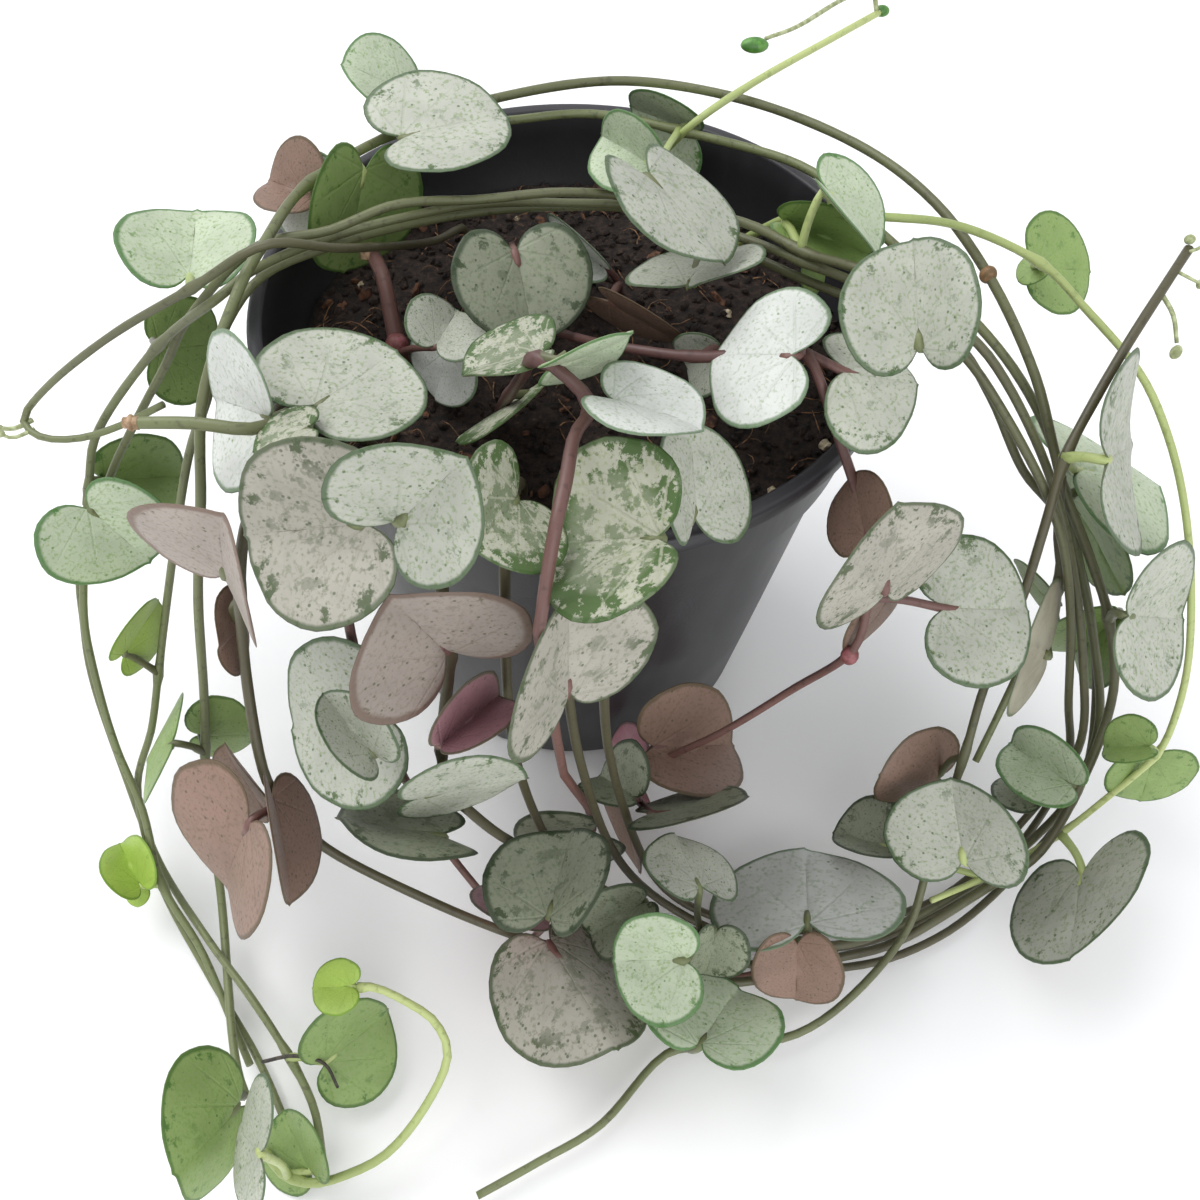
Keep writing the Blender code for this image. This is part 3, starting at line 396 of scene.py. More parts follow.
    ("leaves_table_middle", "rim_string", 10.0, OLIVE, "silver_leaf", (
        (S, (21, -78, 32), 110, -10, 35, 20, 0.54, -5),
        (P, (18, -90, 31), 175, -15, -35, 22, 0.54, 35),
        (D, (24, -84, 26), 255, -45, -20, 13, 0.64, 35),
    )),
    ("leaf_table_grey", "ring_string", 9.4, RED, "silver_leaf", (
        (K, (-4, -84, 20), 300, 15, -10, 31, 0.74, -35),
    )),
    ("leaf_table_mint", "tip_string", 13.6, OLIVE, "silver_leaf", (
        (P, (21, -101, 22), 55, -30, -15, 25, 0.64, 15),
    )),
    ("leaf_table_dark", "rim_string", 8.0, OLIVE, "green_leaf", (
        (D, (-4, -84, 36), 75, -5, -25, 26, 0.60, 30),
    )),
    ("leaf_table_olive", "rim_string", 9.0, OLIVE, "green_leaf", (
        (D, (12, -78, 24), 200, -40, -20, 19, 0.66, 55),
    )),
    ("leaf_table_pink", "front_string", 8.2, RED, "pink_leaf", (
        (R, (-5, -80, 20), 320, -155, -145, 22, 0.72, 20),
    )),
)

LEAFY_STRINGS = (
    "centre_string", "curl_string", "cut_string", "cut_stub",
    "dark_string", "hoop_string", "red_string", "young_string_right",
)

# Small side shoots: the string they belong to, their stuff, their radius in mm and their points in mm.
TWIGS: tuple = (
    ("tip_string", "young_shoot", 0.40, ((92, -6, 98), (94, -9, 96), (95, -12, 93))),
    ("tip_string", "young_shoot", 0.30, ((97, 1, 100), (99, 1, 101), (101, 3, 102))),
    ("tip_string", "young_shoot", 0.30, ((95, -2, 99), (97, -4, 99), (99, -4, 98))),
    ("hoop_string", "young_shoot", 0.45, ((-91, -12, 74), (-94, -13, 73), (-97, -13, 73))),
    ("hoop_string", "young_shoot", 0.35, ((-90, -14, 74), (-93, -16, 74), (-95, -16, 75))),
    ("back_sprig", "young_shoot", 0.45, (
        (55, 59, 106), (53, 60, 110), (46, 52, 112), (38, 44, 112), (32, 40, 112),
    )),
    ("ring_string", "tendril_dark", 0.35, (
        (-53, -101, 11), (-47, -101, 15), (-42, -102, 14), (-40, -105, 10),
    )),
    ("cut_stub", "cut_end", 1.50, ((-33, 3, 96), (-33, 4, 98))),
    ("cut_string", "cut_end", 0.95, ((-57, -42, 106), (-59, -42, 106))),
)

# Buds and swollen joints: the string they belong to, their stuff, their place and their half sizes in mm.
BUDS: tuple = (
    ("tip_string", "young_shoot", (95, -13, 92), (0.9, 0.9, 1.3)),
    ("tip_string", "young_shoot", (101, 3, 102), (0.8, 0.8, 0.9)),
    ("tip_string", "young_shoot", (99, -4, 98), (0.7, 0.7, 0.9)),
    ("tip_string", "young_shoot", (98, 3, 101), (0.9, 0.8, 0.8)),
    ("hoop_string", "young_shoot", (-97, -13, 73), (1.2, 0.7, 0.7)),
    ("hoop_string", "young_shoot", (-95, -16, 75), (1.0, 0.7, 0.7)),
    ("back_sprig", "green_bud", (30, 38, 112), (2.4, 1.5, 1.2)),
    ("back_sprig", "green_bud", (56, 60, 106), (1.4, 1.1, 1.0)),
    ("cut_string", "cut_end", (-58, -42, 106), (0.5, 1.15, 1.15)),
    ("ring_string", "brown_knuckle", (66, -1, 97), (1.4, 1.3, 1.5)),
    ("ring_string", "pink_knuckle", (-50, -64, 38), (1.7, 1.7, 2.3)),
    ("red_string", "pink_knuckle", (45, -49, 59), (1.5, 1.5, 1.9)),
    ("red_string", "pink_knuckle", (15, -50, 20), (1.5, 1.5, 1.5)),
    ("cut_stub", "pink_knuckle", (-29, -6, 86), (1.9, 1.8, 1.9)),
)
SOIL_SURFACE = "soil"


def linear(code: str) -> tuple[float, float, float, float]:
    """Turns an sRGB hex colour into a linear one.

    Args:
        code: Six hex digits, with or without a leading #.

    Returns:
        Red, green, blue and an alpha of 1.
    """
    code = code.lstrip("#")
    parts = [int(code[i : i + 2], 16) / 255 for i in (0, 2, 4)]
    return (*(c / 12.92 if c <= 0.04045 else ((c + 0.055) / 1.055) ** 2.4 for c in parts), 1.0)


def add_node(tree: NodeTree, kind: str, inputs: dict | None = None, **settings: Any) -> Node:
    """Adds a node with its settings and links.

    Args:
        tree: The node tree.
        kind: The node's type, such as ShaderNodeTexNoise.
        inputs: Input name or index to a value, or to the output socket that feeds it.
        **settings: Properties of the node.

    Returns:
        The new node.
    """
    made = tree.nodes.new(kind)
    for name, value in settings.items():
        setattr(made, name, value)
    for key, value in (inputs or {}).items():
        if isinstance(value, NodeSocket):
            tree.links.new(value, made.inputs[key])
        else:
            made.inputs[key].default_value = value
    return made


def ramp(tree: NodeTree, factor: NodeSocket, low: float, high: float) -> NodeSocket:
    """A smooth step of a factor from 0 at low to 1 at high."""
    made = add_node(
        tree,
        "ShaderNodeMapRange",
        {"Value": factor, "From Min": low, "From Max": high, "To Min": 0.0, "To Max": 1.0},
        interpolation_type="SMOOTHSTEP",
    )
    return made.outputs["Result"]


def blend(tree: NodeTree, factor: Any, first: Any, second: Any, how: str = "MIX") -> NodeSocket:
    """A mix of two colours by a factor."""
    made = add_node(
        tree,
        "ShaderNodeMix",
        {0: factor, 6: first, 7: second},
        data_type="RGBA",
        blend_type=how,
        clamp_factor=True,
    )
    return made.outputs[2]


def calc(tree: NodeTree, operation: str, *values: Any) -> NodeSocket:
    """A sum, product or other operation on numbers."""
    made = add_node(tree, "ShaderNodeMath", dict(enumerate(values)), operation=operation)
    return made.outputs[0]


def product(tree: NodeTree, *values: Any) -> NodeSocket:
    """The product of numbers."""
    made = values[0]
    for value in values[1:]:
        made = calc(tree, "MULTIPLY", made, value)
    return made


def cloudy(tree: NodeTree, place: Any, scale: float, detail: float,
           roughness: float = 0.5) -> NodeSocket:
    """A soft noise from 0 to 1, whose grains get smaller as the scale goes up."""
    inputs = {"Vector": place, "Scale": scale, "Detail": detail, "Roughness": roughness}
    return add_node(tree, "ShaderNodeTexNoise", inputs).outputs["Fac"]


def object_place(tree: NodeTree) -> NodeSocket:
    """The place on the object, in metres."""
    return add_node(tree, "ShaderNodeTexCoord").outputs["Object"]


def raised(tree: NodeTree, shader: Node, height: Any, strength: float, distance: float) -> None:
    """Lets a height tilt the light on the skin."""
    inputs = {"Strength": strength, "Distance": distance, "Height": height}
    bump = add_node(tree, "ShaderNodeBump", inputs)
    tree.links.new(bump.outputs[0], shader.inputs["Normal"])


def satin(tree: NodeTree, shader: Node, grain: Any, low: float, high: float) -> None:
    """Lets a grain vary the roughness between two values."""
    rough = add_node(tree, "ShaderNodeMapRange", {"Value": grain, "To Min": low, "To Max": high})
    tree.links.new(rough.outputs["Result"], shader.inputs["Roughness"])


def new_material(name: str) -> tuple[Material, NodeTree, Node]:
    """A material with only its Principled shader and output."""
    made = bpy.data.materials.new(name)
    made.use_nodes = True
    return made, made.node_tree, made.node_tree.nodes["Principled BSDF"]


@dataclass(frozen=True)
class LeafFinish:
    """A living leaf: a waxy skin over silvery air cells, green where they are missing.

    The upper face is dull silver with green speckles and a thin green edge. The underside is plain,
    from green to mauve. The soft sheen of the wax comes from a middling roughness.
    """

    kind: LeafKind
    top: str
    patch: str
    speckle: str
    under: str
    under_vein: str
    edge: str
    patch_amount: float = 0.3
    speckle_amount: float = 0.35
    roughness: float = 0.5
    edge_width: float = 0.05

    def build(self) -> Material:
        """Makes the material from the leaf's own coordinates."""
        material, tree, shader = new_material(f"leaf_{self.kind.value}_waxy_skin")
        spot = add_node(tree, "ShaderNodeAttribute", attribute_name="leaf_place").outputs["Vector"]
        side = add_node(tree, "ShaderNodeAttribute", attribute_name="leaf_side").outputs["Fac"]
        seed = add_node(tree, "ShaderNodeAttribute", attribute_name="leaf_seed").outputs["Fac"]
        across, along, rim = add_node(tree, "ShaderNodeSeparateXYZ", {0: spot}).outputs
        own = product(tree, seed, 37.0)
        place = add_node(tree, "ShaderNodeCombineXYZ", {0: across, 1: along, 2: own}).outputs[0]
        cloud = cloudy(tree, place, 3.5, 4.0, 0.6)
        grain = cloudy(tree, place, 42.0, 3.0)
        blotch = cloudy(tree, place, 9.0, 5.0, 0.7)
        veins = self._veins(tree, across, along, grain)
        dots = self._dots(tree, place)
        jag = product(tree, calc(tree, "SUBTRACT", blotch, 0.5), 0.06)
        width = self.edge_width
        edge = ramp(tree, calc(tree, "ADD", rim, jag), 1.0 - width * 1.5, 1.0 - width * 0.7)

        silver = self._silver(tree, cloud, grain)
        patch = self._patch(tree, blotch, rim, veins)
        cover = product(tree, patch, min(1.0, 0.45 + self.patch_amount))
        top = blend(tree, cover, silver, linear(self.speckle))
        top = blend(tree, product(tree, dots, 0.8), top, linear(self.speckle))
        top = blend(tree, product(tree, veins, 0.22), top, linear(self.patch))
        top = blend(tree, product(tree, edge, 0.85), top, linear(self.edge))

        low, high = linear(self.under), linear(self.under_vein)
        under = blend(tree, ramp(tree, cloud, 0.35, 0.65), low, high)
        under = blend(tree, product(tree, veins, 0.5), under, high)
        under = blend(tree, product(tree, dots, 0.35), under, linear(self.edge))
        under = blend(tree, product(tree, edge, 0.6), under, linear(self.edge))

        colour = blend(tree, ramp(tree, side, 0.35, 0.65), top, under)
        tone = calc(tree, "ADD", product(tree, seed, 0.16), 0.90)
        grey = add_node(tree, "ShaderNodeCombineColor", {0: tone, 1: tone, 2: tone}).outputs[0]
        tree.links.new(blend(tree, 1.0, colour, grey, "MULTIPLY"), shader.inputs["Base Color"])
        satin(tree, shader, grain, self.roughness - 0.08, self.roughness + 0.12)
        relief = calc(tree, "SUBTRACT", product(tree, grain, 0.5), product(tree, veins, 0.9))
        raised(tree, shader, relief, 0.35, 0.0003)
        shader.inputs["IOR"].default_value = 1.45
        return material

    def _silver(self, tree: NodeTree, cloud: Any, grain: Any) -> NodeSocket:
        """The silvery ground, a little darker in clouds, with a fine green grain."""
        light = linear(self.top)
        shaded = (*(part * 0.86 for part in light[:3]), 1.0)
        ground = blend(tree, ramp(tree, cloud, 0.32, 0.68), light, shaded)
        return blend(tree, ramp(tree, grain, 0.50, 0.70), ground, linear(self.patch))

    def _patch(self, tree: NodeTree, blotch: Any, rim: Any, veins: Any) -> NodeSocket:
        """Where green patches lie: more of them near the edge, and none on the veins."""
        low = 0.64 - 0.30 * self.patch_amount
        patch = ramp(tree, blotch, low, low + 0.08)
        share = calc(tree, "ADD", 0.35 + 0.5 * self.patch_amount, ramp(tree, rim, 0.55, 0.98))
        clear = calc(tree, "SUBTRACT", 1.0, product(tree, veins, 0.75))
        return product(tree, patch, share, clear)

    def _dots(self, tree: NodeTree, place: Any) -> NodeSocket:
        """Where small round speckles lie: only some cells of a random pattern have one."""
        cells = add_node(tree, "ShaderNodeTexVoronoi", {"Vector": place, "Scale": 24.0, "Randomness": 1.0})
        luck = add_node(tree, "ShaderNodeSeparateColor", {0: cells.outputs["Color"]}).outputs[0]
        few = ramp(tree, luck, 0.96 - 0.55 * self.speckle_amount, 1.0 - 0.50 * self.speckle_amount)
        return product(tree, ramp(tree, cells.outputs["Distance"], 0.26, 0.16), few)

    @staticmethod
    def _veins(tree: NodeTree, across: Any, along: Any, wobble: Any) -> NodeSocket:
        """Thin veins that fan out from the notch and fade towards the edge."""
        between = 0.62
        shifted = calc(tree, "ADD", along, 0.02)
        square = calc(tree, "ADD", product(tree, across, across), product(tree, shifted, shifted))
        far = calc(tree, "SQRT", square)
        bend = product(tree, calc(tree, "SUBTRACT", wobble, 0.5), 0.10)
        turn = calc(tree, "ADD", calc(tree, "ARCTAN2", across, shifted), bend)
        width = product(tree, calc(tree, "PINGPONG", turn, between / 2), far)
        return product(tree, ramp(tree, width, 0.012, 0.003), ramp(tree, far, 0.55, 0.25))


@dataclass(frozen=True)
class StemFinish:
    """A grown stem: smooth skin, greener or redder with age, with fine lengthwise streaks."""

    kind: StemKind
    young: str
    ripe: str
    mark: str
    roughness: float = 0.45

    def build(self) -> Material:
        """Makes the material, from ripe at the root to young at the tip."""
        material, tree, shader = new_material(f"stem_{self.kind.value}_grown_skin")
        age = add_node(tree, "ShaderNodeAttribute", attribute_name="stem_age").outputs["Fac"]
        place = object_place(tree)
        patches = cloudy(tree, place, 60.0, 3.0)
        streaks = cloudy(tree, place, 900.0, 2.0)
        uneven = product(tree, calc(tree, "SUBTRACT", patches, 0.5), 0.5)
        ripeness = ramp(tree, calc(tree, "ADD", age, uneven), 0.1, 0.95)
        colour = blend(tree, ripeness, linear(self.ripe), linear(self.young))
        marks = product(tree, ramp(tree, streaks, 0.56, 0.72), 0.45)
        tree.links.new(blend(tree, marks, colour, linear(self.mark)), shader.inputs["Base Color"])
        shader.inputs["Roughness"].default_value = self.roughness
        raised(tree, shader, streaks, 0.3, 0.0002)
        return material


@dataclass(frozen=True)
class PotFinish:
    """Polypropylene, thin and black, moulded: a satin skin with faint flow marks, scuffs and peat dust."""

    body: str = "#232326"
    scuff: str = "#4E4D52"
    dust: str = "#6E5C50"

    def build(self) -> Material:
        """Makes the material."""
        material, tree, shader = new_material("polypropylene_moulded_black")
        place = object_place(tree)
        stretched = add_node(tree, "ShaderNodeMapping", {"Vector": place, "Scale": (1.0, 1.0, 0.18)})
        flow = cloudy(tree, stretched.outputs[0], 90.0, 4.0)
        fine = cloudy(tree, place, 1600.0, 2.0)
        spots = cloudy(tree, place, 420.0, 4.0, 0.7)
        lip = ramp(tree, add_node(tree, "ShaderNodeSeparateXYZ", {0: place}).outputs[2], 0.086, 0.092)
        marks = product(tree, ramp(tree, flow, 0.55, 0.80), 0.45)
        scuffed = calc(tree, "ADD", marks, product(tree, lip, 0.22))
        colour = blend(tree, scuffed, linear(self.body), linear(self.scuff))
        dusty = product(tree, ramp(tree, spots, 0.66, 0.76), calc(tree, "ADD", lip, 0.15))
        tree.links.new(blend(tree, dusty, colour, linear(self.dust)), shader.inputs["Base Color"])
        satin(tree, shader, flow, 0.32, 0.52)
        raised(tree, shader, fine, 0.25, 0.0001)
        shader.inputs["IOR"].default_value = 1.49
        return material


@dataclass(frozen=True)
class PeatFinish:
    """Damp peat: dark crumbs that go from near black in the pores to warm brown on dry tops."""

    name: str = "peat_milled_damp"
    dark: str = "#1C1613"
    middle: str = "#3C2E26"
    dry: str = "#6A5240"
    grain: float = 700.0

    def build(self) -> Material:
        """Makes the material."""
        material, tree, shader = new_material(self.name)
        place = object_place(tree)
        crumbs = cloudy(tree, place, self.grain, 6.0, 0.75)
        clods = cloudy(tree, place, 130.0, 3.0)
        colour = blend(tree, ramp(tree, crumbs, 0.40, 0.62), linear(self.dark), linear(self.middle))
        dry = product(tree, ramp(tree, crumbs, 0.56, 0.70), ramp(tree, clods, 0.45, 0.60))
        tree.links.new(blend(tree, dry, colour, linear(self.dry)), shader.inputs["Base Color"])
        shader.inputs["Roughness"].default_value = 0.92
        raised(tree, shader, crumbs, 0.9, 0.0008)
        return material


@dataclass(frozen=True)
class PlainFinish:
    """A small dry thing of one stuff, such as coir, perlite or straw, mottled at its own scale."""

    name: str
    light: str
    dark: str
    scale: float
    roughness: float = 0.85

    def build(self) -> Material:
        """Makes the material."""
        material, tree, shader = new_material(self.name)
        mottle = cloudy(tree, object_place(tree), self.scale, 4.0)
        colour = blend(tree, ramp(tree, mottle, 0.38, 0.64), linear(self.dark), linear(self.light))
        tree.links.new(colour, shader.inputs["Base Color"])
        shader.inputs["Roughness"].default_value = self.roughness
        raised(tree, shader, mottle, 0.4, 0.0002)
        return material


def leaf_finishes() -> dict[LeafKind, Material]:
    """One material for each kind of leaf."""
    rows = (
        LeafFinish(S, "#B6B9AC", "#8F9B7B", "#4F643B", "#8F8A76", "#A19D89", "#38552A", 0.25, 0.45),
        LeafFinish(W, "#D3D6D0", "#B0BAA6", "#6E8659", "#BDBBB0", "#C9C7BD", "#55744A", 0.10, 0.15, 0.42),
        LeafFinish(P, "#BFCBB0", "#9AAE80", "#56803A", "#A9B68F", "#B8C3A0", "#3F6F2E", 0.2, 0.15, 0.5, 0.06),
        LeafFinish(K, "#ABA79B", "#8B8D7A", "#505B3F", "#99907F", "#A69C8C", "#445433", 0.36, 1.0),
        LeafFinish(V, "#B9BAA8", "#9CA483", "#50683B", "#8C8468", "#9B937A", "#3E5A28", 0.60, 0.80),
        LeafFinish(M, "#A39990", "#8D8376", "#5B5D45", "#A0958B", "#AEA398", "#705C4F", 0.15, 0.6, 0.55, 0.08),
        LeafFinish(G, "#8AA262", "#7A974D", "#4B7030", "#748F46", "#88A158", "#48692C", 0.25, 0.15, 0.45),
        LeafFinish(L, "#A3C055", "#92B347", "#76963A", "#93AF4A", "#A6C05C", "#6F9232", 0.1, 0.05, 0.42),
        # The shaded row is painted shade: the silver finish darker and greener, for leaves that lie in shade.
        LeafFinish(D, "#959B85", "#7C876B", "#48553A", "#7C7262", "#8A7E6D", "#2F4026", 0.35, 0.5, 0.5, 0.07),
        LeafFinish(U, "#8A7062", "#75604F", "#4E4636", "#7D5A4D", "#8F6E60", "#574A34", 0.1, 0.4),
        LeafFinish(R, "#AC8289", "#9A747A", "#6E5A50", "#CB8B99", "#D6A3AE", "#555A40", 0.1, 0.35),
    )
    return {row.kind: row.build() for row in rows}


def small_finishes() -> dict[str, Material]:
    """One material for each stuff that the twigs and buds are made of."""
    rows = (
        PlainFinish("young_shoot", "#B5BD92", "#8C9468", 900.0, 0.5),
        PlainFinish("green_bud", "#5F9440", "#3F6E2C", 700.0, 0.4),
        PlainFinish("tendril_dark", "#4A4438", "#2E2A24", 900.0, 0.6),
        PlainFinish("brown_knuckle", "#8C6B47", "#665034", 900.0, 0.6),
        PlainFinish("pink_knuckle", "#9A5C60", "#74433F", 700.0, 0.45),
        PlainFinish("cut_end", "#B79A7C", "#8E7256", 1200.0, 0.7),
    )
    return {row.name: row.build() for row in rows}


def stem_finishes() -> dict[StemKind, Material]:
    """One material for each kind of stem."""
    rows = (
        StemFinish(OLIVE, "#747D54", "#504C37", "#3A3729"),
        StemFinish(RED, "#7A5850", "#5A3F3B", "#3F2C2A"),
        StemFinish(YOUNG, "#B9C583", "#93A262", "#7C8A50"),
    )
    return {row.kind: row.build() for row in rows}


def deselect() -> None:
    """Clears the selection, because an operator acts on all that is selected."""
    if bpy.context.mode != "OBJECT":
        bpy.ops.object.mode_set(mode="OBJECT")
    bpy.ops.object.select_all(action="DESELECT")


def active(name: str) -> Object:
    """Names the object that an operator has just added."""
    made = bpy.context.object
    made.name = name
    made.data.name = name
    return made


def settle(piece: Object) -> Object:
    """Moves an object's place into its mesh, so that it sits at the origin."""
    piece.data.transform(piece.matrix_world)
    piece.matrix_world = Matrix.Identity(4)
    return piece


def chosen(piece: Object) -> None:
    """Makes one object the only one that an operator acts on."""
    deselect()
    piece.select_set(True)
    bpy.context.view_layer.objects.active = piece


def without_uv(mesh: Mesh) -> Mesh:
    """Drops the UV maps that a primitive brings, because no finish reads them."""
    while mesh.uv_layers:
        mesh.uv_layers.remove(mesh.uv_layers[0])
    return mesh


def coated(piece: Object, material: Material) -> None:
    """Gives a piece one material and smooth faces."""
    mesh = piece.data
    mesh.materials.clear()
    mesh.materials.append(material)
    mesh.polygons.foreach_set("use_smooth", [True] * len(mesh.polygons))


def in_place_of(node: str, piece: Object) -> Object:
    """Rides a piece on the body, in place of a CAD node, which it hides."""
    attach(piece, BODY)
    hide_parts(node)
    return piece


def merged(name: str, pieces: Sequence[Object]) -> Object:
    """Joins finished objects into one.

    Args:
        name: The name of the result.
        pieces: Mesh objects at the origin.

    Returns:
        The joined object.
    """
    deselect()
    for piece in pieces:
        piece.select_set(True)
    bpy.context.view_layer.objects.active = pieces[0]
    if len(pieces) > 1:
        bpy.ops.object.join()
    return active(name)


def spline_point(points: Sequence[Vector], along: float) -> Vector:
    """The point of a smooth route at a place counted in its points."""
    index = max(0, min(int(along), len(points) - 2))
    amount = along - index
    start, end = points[index], points[index + 1]
    before = points[index - 1] if index > 0 else 2 * start - end
    after = points[index + 2] if index + 2 < len(points) else 2 * end - start
    return 0.5 * (
        2 * start
        + (end - before) * amount
        + (2 * before - 5 * start + 4 * end - after) * amount**2
        + (3 * start - before - 3 * end + after) * amount**3
    )


def string_route(name: str) -> list[Vector]:
    """A string's route in metres, from its foot in the soil where it has one."""
    _, _, rooted, points = STRINGS[name]
    route = [Vector(point) * MM for point in points]
    if rooted:
        foot = route[0].copy()
        foot.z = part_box("soil")[1][2] - 3 * MM
        route.insert(0, foot)
    return route


@dataclass
class Tube:
    """A round stem along a smooth route, with swollen joints."""

    name: str
    points: list[Vector]
    radius: float
    joints: list[Vector] = field(default_factory=list)
    taper: float = 0.85
    step: float = 2.2 * MM
    sides: int = 3
    swell: float = 0.45
    flare: float = 0.0

    def line(self) -> list[Vector]:
        """Evenly spaced points of the smooth route."""
        out = [self.points[0]]
        fine = 24
        for index in range(1, (len(self.points) - 1) * fine):
            point = spline_point(self.points, index / fine)
            if (point - out[-1]).length > self.step:
                out.append(point)
        if (self.points[-1] - out[-1]).length < self.step * 0.5 and len(out) > 1:
            out.pop()
        return out + [self.points[-1]]

    def build(self, material: Material, age: tuple[float, float] = (0.0, 1.0)) -> Object:
        """Makes the tube as a mesh.

        Args:
            material: The stem's finish.
            age: Ripeness at the first and the last point, from 0, ripe, to 1, young.

        Returns:
            The mesh object, at the origin.
        """
        line = self.line()
        curve = bpy.data.curves.new(self.name, "CURVE")
        curve.dimensions = "3D"
        curve.bevel_depth = self.radius
        curve.bevel_resolution = self.sides
        curve.use_fill_caps = True
        spline = curve.splines.new("POLY")
        spline.points.add(len(line) - 1)
        last = len(line) - 1
        for index, (target, point) in enumerate(zip(spline.points, line)):
            target.co = (*point, 1.0)
            share = index / last
            near = min(((point - joint).length for joint in self.joints), default=1.0)
            bulge = self.swell * math.exp(-((near / (1.6 * MM)) ** 2))
            wobble = 0.05 * noise.noise(point * 160)
            ends = self.flare * max(math.exp(-share * 9), math.exp(-(1 - share) * 7))
            target.radius = (1 + (self.taper - 1) * share) * (1 + bulge + wobble + ends)
        made = bpy.data.objects.new(self.name, curve)
        bpy.context.scene.collection.objects.link(made)
        chosen(made)
        bpy.ops.object.convert(target="MESH")
        made = bpy.context.object
        shape = bmesh.new()
        shape.from_mesh(made.data)
        bmesh.ops.remove_doubles(shape, verts=shape.verts, dist=0.000005)
        bmesh.ops.recalc_face_normals(shape, faces=shape.faces)
        shape.to_mesh(made.data)
        shape.free()
        self._mark_age(made, line, age)
        coated(made, material)
        return made

    def _mark_age(self, made: Object, line: list[Vector], age: tuple[float, float]) -> None:
        """Writes how ripe the skin is at each vertex."""
        tree = KDTree(len(line))
        for index, point in enumerate(line):
            tree.insert(point, index)
        tree.balance()
        values = []
        for vertex in made.data.vertices:
            share = tree.find(vertex.co)[1] / (len(line) - 1)
            values.append(age[0] + (age[1] - age[0]) * share)
        attribute = made.data.attributes.new("stem_age", "FLOAT", "POINT")
        attribute.data.foreach_set("value", values)


@dataclass(frozen=True)
class Curl:
    """How far a blade is cupped, curled at its tip and waved at its edge, in leaf widths."""

    cup: float
    tip: float
    wave: float
    phase: float
    waves: int
    lobe: float

    @classmethod
    def grown(cls, seed: int) -> Curl:
        """A blade's own curling, always the same for a seed."""
        rng = random.Random(seed)
        return cls(rng.uniform(-0.10, 0.16), rng.uniform(-0.06, 0.10), rng.uniform(0.010, 0.028),
                   rng.uniform(0, math.tau), rng.randint(2, 4), rng.uniform(-0.06, 0.06))


